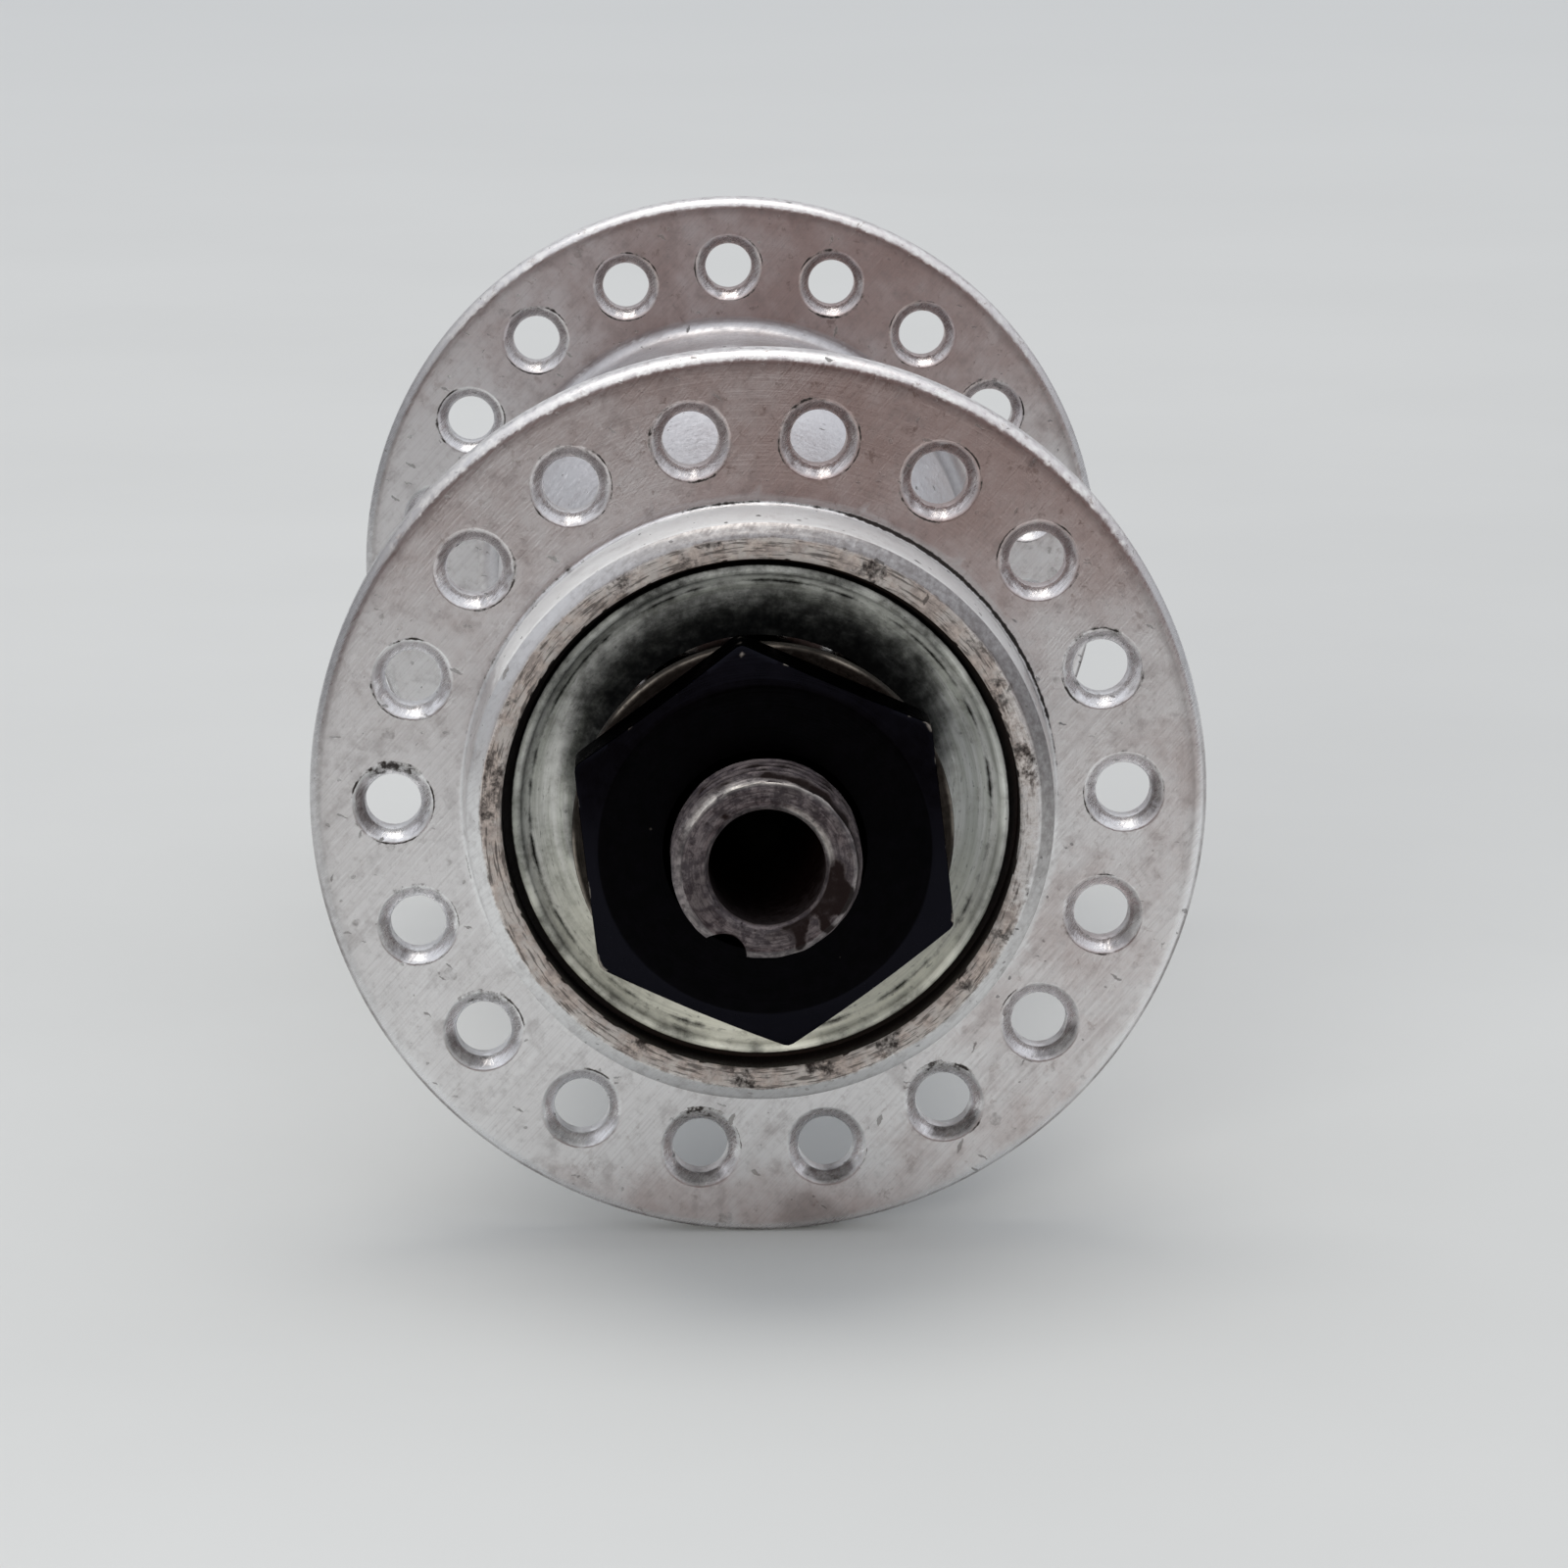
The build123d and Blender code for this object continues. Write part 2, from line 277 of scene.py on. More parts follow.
barrel = profile(
    line((waist_radius, 0), (waist_radius, waist_end, 3)),
    arc((waist_radius + flare_radius, waist_end), flare_radius, 180, 180 - flare_sweep, 7),
    arc((neck_radius - flare_radius, neck_start), flare_radius, -flare_sweep, 0, 7),
    line((neck_radius, neck_start), (neck_radius, flange_inner - neck_fillet, 2)),
    arc((neck_radius + neck_fillet, flange_inner - neck_fillet), neck_fillet, 180, 90, 6),
)
barrel[-1] = (face_inside, flange_inner)
rim = profile(
    arc((face_outside, flange_inner + rim_round), rim_round, -90, 0, 7),
    line((flange_radius, flange_inner + rim_round), (flange_radius, flange_outer - rim_round, 4)),
    arc((face_outside, flange_outer - rim_round), rim_round, 0, 90, 7),
)
boss_and_seats = profile(
    arc((boss_inside, flange_outer + boss_fillet), boss_fillet, -90, -180, 4),
    # Up the boss, over its chamfer and its rounded mouth, and down the steps that seat the cap and the cup
    line((boss_root, flange_outer + boss_fillet), (boss_tip, boss_chamfer, 7), (14.27, 41.13, 1),
         (13.66, 41.66, 3), (13.56, boss_end, 1), (12.76, boss_end, 4), (12.69, 41.685, 1), (12.6, 41.61, 1),
         (mouth_radius, 41.53, 1), (mouth_radius, mouth_floor, 5), (cap_seat_radius, mouth_floor, 1),
         (cap_seat_radius, cap_foot, 1), (cup_seat_radius, cap_foot, 1), (cup_seat_radius, cup_floor, 3),
         (shell_bore, cup_floor, 2), (shell_bore, 0, 3)),
)
print("rows in the turned bands:", len(barrel), len(rim), len(boss_and_seats))


# %% [markdown]
# Each border point looks at the centre of the hole, and the grid runs along that line of sight to
# the hole's circle, with rows closer together near the hole, where the shape changes fastest. The
# countersinks were cut by hand with a chattering tool, and spokes have rubbed them, so their cones
# get a few shallow waves that fade out at the edges.


# %% One drilled sector
def sector_border(inner, outer, station, side_steps=10):
    """Border of a sector in its own directions, out, across and along: the inner arc, up one side, the outer
    arc and down the other side."""
    turn = np.linspace(-0.5, 0.5, columns_per_sector + 1) * hole_step
    reach = np.linspace(inner, outer, side_steps + 1)
    along, side = np.ones(columns_per_sector), np.full(side_steps, turn[-1])
    radius = np.r_[inner * along, reach[:-1], outer * along, reach[:0:-1]]
    angle = np.r_[turn[:-1], side, turn[:0:-1], -side]
    return np.array([radius * np.cos(angle), radius * np.sin(angle), np.full(len(angle), station)])


def drilled_sector(sign, number):
    """Rows of (out, across, along) from the outer face's border, through the hole, to the inner face's border.
    The chatter is a few waves round the cone, with their number and place drawn for each hole."""
    front = sector_border(boss_inside, face_outside, flange_outer)
    back = sector_border(face_inside, face_outside, flange_inner)
    sight = np.arctan2(front[1], front[0] - spoke_circle)
    chance = np.random.default_rng(700 + 50 * sign + number)
    wobble = sum(
        chance.uniform(0.3, 1) * np.cos(waves * sight + chance.uniform(0, 2 * np.pi))
        for waves in chance.integers(5, 17, 4)
    ) / 2
    cone_depth = spoke_countersink - spoke_hole
    chatter = 0.05

    def ring(radius, station, swing=0.0):
        radius = radius + swing * wobble
        out, across = spoke_circle + radius * np.cos(sight), radius * np.sin(sight)
        return np.array([out, across, np.full(len(sight), station)])

    def half(border, station, inwards):
        """Rows from a face's border to the straight part of the hole."""
        rows = [border * (1 - share) + ring(spoke_countersink, station) * share
                for share in (0, 0.22, 0.42, 0.6, 0.76, 0.88, 0.955)]
        rows.append(ring(spoke_countersink + 0.03, station))
        for share in (0.05, 0.3, 0.6, 0.93):
            down = cone_depth * share
            swing = chatter * math.sin(np.pi * share)
            rows.append(ring(spoke_countersink - down, station + inwards * down, swing))
        return [*rows, ring(spoke_hole, station + inwards * (cone_depth + 0.04))]

    middle = ring(spoke_hole, flange_middle)
    return np.array([*half(front, flange_outer, -1), middle, *half(back, flange_inner, 1)[::-1]])


# %% [markdown]
# Grime gathers round the holes and in every crease, and the rim's edges are rubbed bright. All of
# it is worked out here for each point of the mesh, from its distance to the nearest hole or crease
# and a random field, and the material reads it. The shares were found beside the photograph.
# Painted shade in the creases, the seats and along the rim, painted highlights along the tops of the rim and
# the boss, and a painted reflection of a dark place high on the flanges are worked out in the same way.


# %% Wear on the shell
def shell_wear(points):
    """grime: 0 clean to 1 packed with dirt, with painted shade in the crease at the boss's root, in the seats
    and in a line just inside the rim high up. rub: rubbed bright. chalk: white oxide on the
    boss and the rim, and a little on the barrel, with a painted highlight along the tops of the rim and the
    boss's wall. brown: the copper-coloured stain on the boss's face. tarnish: a warm
    film, painted as the reflection of a dark place, high on the flanges, and painted shade on their right side
    and low down. smoke: a thin brown-grey film in the countersinks, on the boss's chamfer,
    on the neck and in patches low on the flanges, and painted shade high in the upper countersinks and along
    the rim. blue: 1 on the barrel, whose bluish tint is a painted reflection of the overhead light."""
    x, y, z = points.T
    radius, angle, station = polar(points)
    turn = np.where(y < 0, hole_turns[-1], hole_turns[1])
    number = np.round((angle - turn) / hole_step).astype(int)
    middle = turn + number * hole_step
    hole_x, hole_z = x - spoke_circle * np.cos(middle), z - spoke_circle * np.sin(middle)
    hole = np.hypot(hole_x, hole_z)
    hole_up = hole_z / np.clip(hole, 0.1, None)
    past = hole - spoke_countersink
    height = z / flange_radius
    patches, spread = drift(points, 1.3, 11), drift(points, 2.8, 12)
    shade_and_soot_share, film_share = (
        np.random.default_rng(seed).uniform(low, high, holes_per_flange)[number % holes_per_flange]
        for seed, low, high in ((15, 0.1, 0.66), (16, 0.45, 0.95))
    )

    # Where each part of the shell is
    inside = station < flange_inner - 0.01
    drilled = (station > flange_inner - 0.01) & (station < flange_outer + 0.01) & (radius > 15)
    cone = drilled * ramp(-past, 0, 0.2) * (hole > spoke_hole + 0.02)
    seats = ((radius < 12.6) & (station > 30.7) & (station < 41.66)) | (radius < shell_bore + 0.1)
    boss_face = (radius < 13.62) & (radius > 12.55) & (station > 41.55)
    at_end = station > 41.5
    chamfer = (station > boss_chamfer + 0.02) & (radius > 13.6) & (radius < 14.4)
    barrel_side = inside & (radius > waist_radius - 0.1)

    # Round each hole: a thin dirty outline, a smear that fades outwards, and painted shade with soot on the
    # upper side of some countersinks
    outline = band(past, 0.06, 0.09) * (0.34 + 0.42 * ramp(patches + 0.5 * height, -0.4, 0.9))
    smear = np.exp(-np.clip(past, 0, None) / 0.5) * (past > -0.05)
    smear = smear * (0.2 + 0.42 * ramp(spread + 0.5 * height, 0, 1.2))
    shade_and_soot = shade_and_soot_share * ramp(hole_up, 0.1, 0.95) * (hole > spoke_hole + 0.05) * (past < 0.2)
    # Painted shade with dirt in the crease at the boss's root, darkest at the upper right, and in the seats,
    # the groove round the cap and the bore; the boss's face, darker towards the bottom; and a painted shadow
    # line just inside the rim, high up
    root = band(radius, 14.72, 0.16) * (station > flange_outer - 0.02) * (station < flange_outer + 0.4)
    grime = np.maximum.reduce([
        drilled * np.maximum.reduce([outline, smear, shade_and_soot, 0.45 * (hole < spoke_hole + 0.12)]),
        root * (0.38 + 0.26 * ramp(spread, -0.6, 0.8) + 0.3 * towards(angle, 48, 0.45, 0.95)),
        1.0 * seats,
        boss_face * (0.33 + 0.26 * ramp(patches, -0.2, 1.0) + 0.12 * ramp(-height, 0.25, 0.6)),
        0.45 * band(radius, 13.62, 0.1) * at_end,
        0.62 * band(radius, 12.72, 0.1) * at_end * ramp(patches - 0.5 * height, -0.3, 0.9),
        0.4 * band(radius, 14.29, 0.06) * (station > 40.9) * ramp(patches, -0.2, 0.6),
        0.55 * band(radius, 21.4, 0.1) * ramp(patches + 1.5 * height, 0.1, 1.0),
    ])

    # The rim is white with oxide and a painted highlight high up, which fades out lower down, with a painted
    # shadow line inside it; low down its edge carries painted shade
    rim_white = ramp(radius, 21.4, 21.7) * (0.05 + 0.95 * ramp(height, 0.15, 0.7))
    rim_shadow_line = band(radius, 21.33, 0.13) * ramp(height + 0.35 * np.cos(angle), 0.0, 0.4)
    rim_edge_shade = ramp(radius, 21.86, 21.99) * (np.abs(station - flange_middle) > 0.62) * ramp(0.3 - height, 0, 0.4)
    rub = np.clip(ramp(radius, face_outside + 0.05, flange_radius - 0.25) * 0.8 + cone * 0.9, 0, 1)
    # The boss's wall is white with oxide and a painted highlight, strongest at the top and weaker on its
    # chamfer
    boss_side = (station > flange_outer + 0.25) * (radius > 13.6) * (radius < 14.8)
    boss_side = boss_side * (0.12 + 0.88 * ramp(height, 0.12, 0.5)) * np.where(chamfer, 0.2, 1.0)
    chalk = np.maximum.reduce([rim_white * 0.59, 1.15 * boss_side, 0.45 * barrel_side])

    brown = np.clip((13.78 - radius) / 0.3, 0, 1) * (station > 41.0) * (0.74 + 0.34 * ramp(spread, -0.8, 0.6))
    brown = brown * (1 - 0.35 * towards(angle, -5, 0.7, 0.98))
    # The film in a countersink lies on the side away from the axle and below
    film_x, film_z = 0.75 * np.cos(middle), 0.75 * np.sin(middle) - 0.25
    facing = (hole_x * film_x + hole_z * film_z) / np.clip(hole * np.hypot(film_x, film_z), 0.1, None)
    # The film, with painted shade high in the countersinks of the upper holes, along the rim's edge low down,
    # on the rim at the left and in the shadow line inside the rim; the boss's chamfer gets a tone that is
    # darker towards the upper right
    smoke = np.maximum.reduce([
        cone * ramp(facing, 0.55, 0.8) * film_share * ramp(0.45 - np.sin(middle), 0, 0.5),
        0.62 * cone * ramp(hole_up, -0.25, 0.35) * ramp(np.sin(middle), 0.1, 0.6),
        rim_edge_shade * (0.55 + 0.4 * ramp(patches, -0.6, 0.7)),
        chamfer * (0.12 + 0.72 * towards(angle, 50, -0.2, 0.8)),
        0.3 * (station > 29) * inside * (radius > 13),
        0.4 * drilled * ramp(spread, 0.5, 1.2) * ramp(radius, 19.5, 21) * ramp(-height, 0.2, 0.6),
        0.5 * ramp(radius, 21.3, 21.7) * towards(angle, 170, 0.6, 0.95),
        0.9 * rim_shadow_line,
    ])
    # A painted reflection of a dark place as a warm film high on the flanges, most towards the right; painted
    # shade on the flanges' right side and near the floor
    tarnish = np.maximum.reduce([
        drilled * ramp(height, 0.0, 0.75) * (0.5 + 0.4 * ramp(x, -12, 5)),
        0.15 * barrel_side,
        0.42 * drilled * ramp(x - 0.6 * z, 6, 22),
        0.6 * drilled * ramp(-height, 0.72, 0.98),
    ])
    return {"grime": np.clip(grime, 0, 1), "rub": rub, "chalk": chalk, "brown": brown,
            "tarnish": tarnish, "smoke": smoke, "blue": 1.0 * barrel_side}


# %% The shell's mesh
shell_sheets = []
for sign, hole_turn in hole_turns.items():
    shell_sheets += [spun(part, sign, shell_angles) for part in (barrel, rim, boss_and_seats)]
    for number in range(holes_per_flange):
        out, across, station = np.moveaxis(drilled_sector(sign, number), 1, 0)
        angle = hole_turn + number * hole_step
        x = out * math.cos(angle) - across * math.sin(angle)
        z = out * math.sin(angle) + across * math.cos(angle)
        shell_sheets.append(np.stack([x, sign * station, z], -1))
shell = make_piece("shell_body", shell_sheets, "shell", "hub_shell", shell_wear, 28)

# %% [markdown]
# ## Axle
#
# The axle is a steel tube with a rolled thread at each end and a slot along the thread for the
# washers' tabs. A thread is a ridge that moves along by one pitch in each turn, so its radius is
# one function of angle and station. The slot and the end's chamfer only take away from it, so one
# grid holds all three, as on the real axle, where the slot was milled through the thread.


# %% Thread and slot
def slot_radius(angles, radius):
    """Distance from the axle's line to a round slot's near wall: centre times cos minus the root of
    (radius squared minus centre squared times sin squared), and far away where the slot isn't."""
    off = (angles - keyway_angle + np.pi) % (2 * np.pi) - np.pi
    under = radius**2 - (keyway_centre * np.sin(off)) ** 2
    wall = keyway_centre * np.cos(off) - np.sqrt(np.clip(under, 0, None))
    return np.where((under > 0) & (np.abs(off) < 1), wall, 99.0)


def thread_height(angles, stations):
    """Radius of a sixty-degree thread: crest flats of an eighth of a pitch, then flanks that fall by
    1.73 for each unit along, down to the root at 0.61 of a pitch."""
    along = (stations / thread_pitch - angles / (2 * np.pi) + 0.5) % 1 - 0.5
    fall = np.clip(np.abs(along) - 0.0625, 0, None) * thread_pitch / math.tan(math.radians(30))
    return np.clip(thread_radius - fall, thread_radius - 0.6134 * thread_pitch, None)


thread_start = 49.55  # just inside the locknut's mouth
filled_root = 0.47  # how deep the thread is with the dirt in it
crest_wear = 0.022

axle_angles = round_angles(150, 15, 41)
slot = slot_radius(axle_angles, keyway_radius)
threaded = np.linspace(thread_start, axle_end, 84)
chamfered = thread_radius - np.clip(threaded - (axle_end - end_chamfer), 0, None)[:, None]
# Behind the locknut's mouth the crests give way to the pitch line, where the locknut grips
gripped = pitch_radius + (thread_radius - pitch_radius) * ramp(threaded, 49.72, 49.86)[:, None]
wobble = drift(turned(np.full(len(threaded), thread_radius), threaded, axle_angles), 0.5, 21)


def stub(sign):
    """Radii of one threaded end, its crests a little uneven and its roots partly filled. The ends mirror each
    other, all but the thread, whose ridges run on."""
    radii = np.minimum(thread_height(axle_angles[None], -sign * threaded[:, None]), chamfered)
    radii = np.clip(radii, thread_radius - filled_root, None) - crest_wear * (1 + wobble[::-sign])
    return np.minimum(np.minimum(radii, gripped), slot)


slot_start = axle_end - keyway_length
stations = np.r_[0, slot_start - 0.01, slot_start, thread_start, threaded[1:]]
plain = np.full((4, len(axle_angles)), pitch_radius)
plain[2:] = np.minimum(plain[2:], slot)
bore_edge = bore_radius + bore_chamfer
bore = line((bore_edge, axle_end), (bore_radius, axle_end - bore_chamfer, 2), (bore_radius, 0, 6))
axle_sheets = []
for sign in end_signs.values():
    outside = np.concatenate([plain, stub(sign)[1:]])
    # End face: from the worn outline in to the bore, with rows that swell a little where it was burred
    share = np.linspace(0, 1, 9)[:, None]
    face_radius = outside[-1] * (1 - share) + bore_edge * share
    burr = np.clip(0.03 * drift(turned(face_radius, axle_end, axle_angles), 0.8, 22) - 0.05, None, -0.005)
    burr[0], burr[-1] = 0, 0
    axle_sheets += [
        turned(outside, sign * stations, axle_angles),
        turned(face_radius, sign * (axle_end + burr), axle_angles),
        spun(bore, sign, axle_angles),
    ]


# %% Wear on the axle
def axle_wear(points):
    """grime: grease and dirt in the roots, the slot and the bore. rub: bare steel on the end's outer edge, and
    painted highlights on it at the top, on a thread crest at the upper left and on the bore's edge at the upper
    right.
    """
    radius, angle, station = polar(points)
    blobs = drift(points, 0.9, 23) + 0.5 * drift(points, 0.4, 24)
    on_face = station > axle_end - 0.5
    grime = 0.5 + 0.45 * ramp(4.44 - radius + 0.12 * blobs, 0.0, 0.3) * ~on_face * (radius > 3)
    # The end: clean but for old grease that has run out of the bore at the lower right, and a little at its top
    run = towards(angle, -36, 0.62, 0.94) * ramp(4.35 - radius + 0.3 * blobs, 0, 0.7)
    top = towards(angle, 115, 0.9, 0.99) * ramp(3.3 - radius + 0.15 * blobs, 0, 0.4)
    face_grime = 0.12 + 0.45 * ramp(blobs, -0.1, 0.9) + np.maximum(0.78 * run, 0.68 * top)
    grime = np.where(on_face & (radius > 2.8), face_grime, grime)
    grime = np.maximum(grime, 0.95 * (np.abs(radius - slot_radius(angle, keyway_radius)) < 0.02))
    grime = np.where(radius < 2.9, ramp(axle_end - station, -0.1, 0.35), grime)
    # Painted highlights: arcs on the end's outer edge, mostly at the top, on a thread crest at the upper left
    # and on the bore's edge at the upper right
    edge = band(station, 53.78, 0.2) * (radius > 4.0) * (0.7 + 0.3 * ramp(drift(points, 0.6, 25), -0.6, 0.5))
    edge = edge * (0.12 + 0.88 * towards(angle, 100, 0.4, 0.9))
    second = band(station, 52.9, 0.12) * towards(angle, 146, 0.9, 0.98) * (radius > 4.2)
    inner = band(radius, 3.0, 0.12) * (station > 53.7) * towards(angle, 40, 0.75, 0.95)
    rub = np.maximum.reduce([edge, 0.8 * second, 0.6 * inner])
    return {"grime": np.clip(grime * (1 - 0.9 * rub), 0, 1), "rub": rub}


axle = make_piece("threaded_axle", axle_sheets, "axle_set", "axle", axle_wear, 38)

# %% [markdown]
# ## Locknuts
#
# A locknut is a slice of hexagon bar, faced and chamfered on a lathe: where the chamfer's cone
# cuts the six flats it leaves the curved edges that every nut shows. Spanners have rounded its
# corners a little, which a soft minimum with a circle gives.

# %% Locknut shape
nut_columns = 24 * 6 * 2
sixth = np.pi / 3


def hexagon(angles, turn, rounding=0.07):
    """Radius of a hexagon with rounded corners, one of them at the angle turn: half the width over flats
    divided by cos of the angle from the flat's middle, blended into a circle just under the corners."""
    off = (angles - turn) % sixth - sixth / 2
    straight = locknut_flats / 2 / np.cos(off)
    corner = locknut_flats / 2 / math.cos(sixth / 2) - rounding
    gap = (straight - corner) / rounding
    return corner - rounding * np.log1p(np.exp(-gap * 2)) / 2


def chamfer_station(flat):
    """Where the chamfer's cone meets a flat: the further out the flat is, the further back."""
    return locknut_face - (flat - locknut_face_radius) * locknut_slope


def locknut_sheets(sign, turn):
    """The nut's outside with its face and bore, and its back."""
    angles = turn + 2 * np.pi * np.arange(nut_columns) / nut_columns
    flat = hexagon(angles, turn)
    edge = chamfer_station(flat)
    along = np.array([0, 0.03, 0.25, 0.5, 0.75, 0.93, 0.985, 1])[:, None]
    eased = np.array([0.12, 0, 0, 0, 0, 0, 0, 0.02])[:, None]
    inwards = np.array([0.03, 0.2, 0.45, 0.7, 0.95])[:, None]
    radii = np.concatenate([flat - eased, flat * (1 - inwards) + locknut_face_radius * inwards])
    stations = np.concatenate([locknut_seat + (edge - locknut_seat) * along,
                               edge * (1 - inwards) + locknut_face * inwards])
    mouth = nut_bore + nut_mouth
    rings = ((radius, locknut_face, 1) for radius in (7.78, 7.3, 6.6, 5.9, 5.2, mouth + 0.04))
    inside = line((7.86, locknut_face - 0.008), *rings, (mouth, locknut_face - 0.02, 1),
                  (nut_bore, locknut_face - nut_mouth, 3), (nut_bore, locknut_seat + nut_mouth, 1),
                  (mouth, locknut_seat, 1))
    back = turned(np.stack([np.full(nut_columns, mouth), radii[0]]), sign * locknut_seat, angles)
    return [np.concatenate([turned(radii, sign * stations, angles), spun(inside, sign, angles)]), back]


def locknut_wear(points, turn):
    """grime: dull film. rub: oxide rubbed off along the corners and edges, and a painted highlight on the
    corner that stands highest. cone: 1 on the chamfer.
    """
    radius, angle, station = polar(points)
    flat = hexagon(angle, turn)
    chamfer = chamfer_station(flat)
    corner = band((angle - turn + sixth / 2) % sixth - sixth / 2, 0, 0.03) * (radius > flat - 0.15)
    edge = band(station, chamfer, 0.07) * (radius > flat - 0.2)
    worn_away = ramp(drift(points, 0.8, 31) + 0.5 * drift(points, 0.3, 32), 0.35, 1.0)
    # A painted highlight, in the corner that stands highest
    upper = np.pi / 2 + (turn - np.pi / 2 + sixth / 2) % sixth - sixth / 2
    off_top_corner = np.hypot(points[:, 0] - 9.55 * math.cos(upper), points[:, 2] - 9.55 * math.sin(upper))
    top_corner_highlight = band(off_top_corner, 0, 0.3) * (station > 49.25)
    rub = np.clip(corner * (0.15 + worn_away) + edge * worn_away * 0.7 + 1.3 * top_corner_highlight, 0, 1)
    grime = 0.3 * (station > locknut_face - 0.05) + 0.4 * ramp(drift(points, 1.6, 33), 0.2, 1)
    cone = (radius > locknut_face_radius + 0.02) & (station > chamfer - 0.02)
    return {"grime": np.clip(grime, 0, 1), "rub": rub * (station > locknut_seat + 0.3), "cone": 1.0 * cone}


# %% Both locknuts
locknuts = [
    make_piece(f"{end}_hex_nut", locknut_sheets(sign, locknut_turns[end]), "axle_set",
               f"{end}_locknut", partial(locknut_wear, turn=locknut_turns[end]), 24)
    for end, sign in end_signs.items()
]

# %% [markdown]
# ## Keyed washers
#
# A washer is stamped from sheet: one edge of its rim is rolled over by the punch and the other is
# torn sharp, then spanners and grit wear it. The round tab in its hole sits in the axle's slot, so
# it is the same curve with a smaller radius.

# %% Both washers
washer_angles = round_angles(168, 14, 25)
tab = np.minimum(washer_bore, slot_radius(washer_angles, tab_radius))
washer_rim = profile(
    arc((washer_radius - washer_edge, washer_seat + washer_edge), washer_edge, -90, 0, 3),
    arc((washer_radius - washer_edge, locknut_seat - washer_edge), washer_edge, 0, 90, 4),
)
outer = np.repeat(washer_rim[:, :1], len(washer_angles), 1)
shares = np.linspace(0, 1, 6)[1:, None]
washer_radii = np.concatenate([
    outer, outer[-1] * (1 - shares) + tab * shares, tab[None], tab * (1 - shares) + outer[0] * shares,
])
washer_stations = np.r_[washer_rim[:, 1], np.full(5, locknut_seat), washer_seat, np.full(5, washer_seat)]


def washer_wear(points):
    """grime: dirt in patches. rub: the edge that has turned against the locknut."""
    radius, _, station = polar(points)
    grime = 0.3 + 0.25 * ramp(drift(points, 1.2, 41) + 0.4 * drift(points, 0.4, 42), -0.2, 0.9)
    rub = band(radius, 9.08, 0.06) * (station > 45.5) * ramp(drift(points, 1.8, 43), -0.4, 0.7)
    return {"grime": grime * (1 - rub), "rub": rub}


washers = [
    make_piece(f"{end}_keyed_washer", [turned(washer_radii, sign * washer_stations, washer_angles)],
               "axle_set", f"{end}_washer", washer_wear, 40)
    for end, sign in end_signs.items()
]

# %% [markdown]
# ## Dust caps
#
# A dust cap is drawn from thin sheet steel: a skirt that presses into the shell, a rolled lip, a
# crease and a shallow dish that nearly reaches the cone. Drawn sheet is never flat, so the dish
# gets a very slight waviness, which breaks up the reflections as on the real cap.


# %% Dust cap section
def three_point_arc(start, middle, end, steps):
    """Profile points on the circle through three points, found from the two chords' bisectors."""
    a, b, c = (np.asarray(point, float) for point in (start, middle, end))
    chords = 2 * np.array([b - a, c - a])
    centre = np.linalg.solve(chords, [b @ b - a @ a, c @ c - a @ a])
    first, last = (np.arctan2(*(point - centre)[::-1]) for point in (a, c))
    sweep = (last - first + np.pi) % (2 * np.pi) - np.pi
    angles = first + sweep * np.linspace(0, 1, steps + 1)
    return centre + np.linalg.norm(a - centre) * np.stack([np.cos(angles), np.sin(angles)], -1)


cap_middle = ((cap_crease[0] + cap_hole[0]) / 2, (cap_crease[1] + cap_hole[1]) / 2 - cap_sag)
lip_station = cap_lip - cap_sheet / 2
skirt_inside = cap_radius - cap_sheet
under_hole, under_middle, under_crease = (
    (radius, station - cap_sheet) for radius, station in (cap_hole, cap_middle, cap_crease)
)
cap_section = profile(
    line((cap_radius, cap_foot), (cap_radius, lip_station, 3)),
    arc((cap_radius - cap_sheet / 2, lip_station), cap_sheet / 2, 0, 180, 9),
    line((skirt_inside, lip_station), (*cap_crease, 4)),
    three_point_arc(cap_crease, cap_middle, cap_hole, 14),
    line(cap_hole, (*under_hole, 2)),
    three_point_arc(under_hole, under_middle, under_crease, 6),
    line(under_crease, (skirt_inside, lip_station - cap_sheet, 1), (skirt_inside, cap_foot, 1),
         (cap_radius, cap_foot, 1)),
)


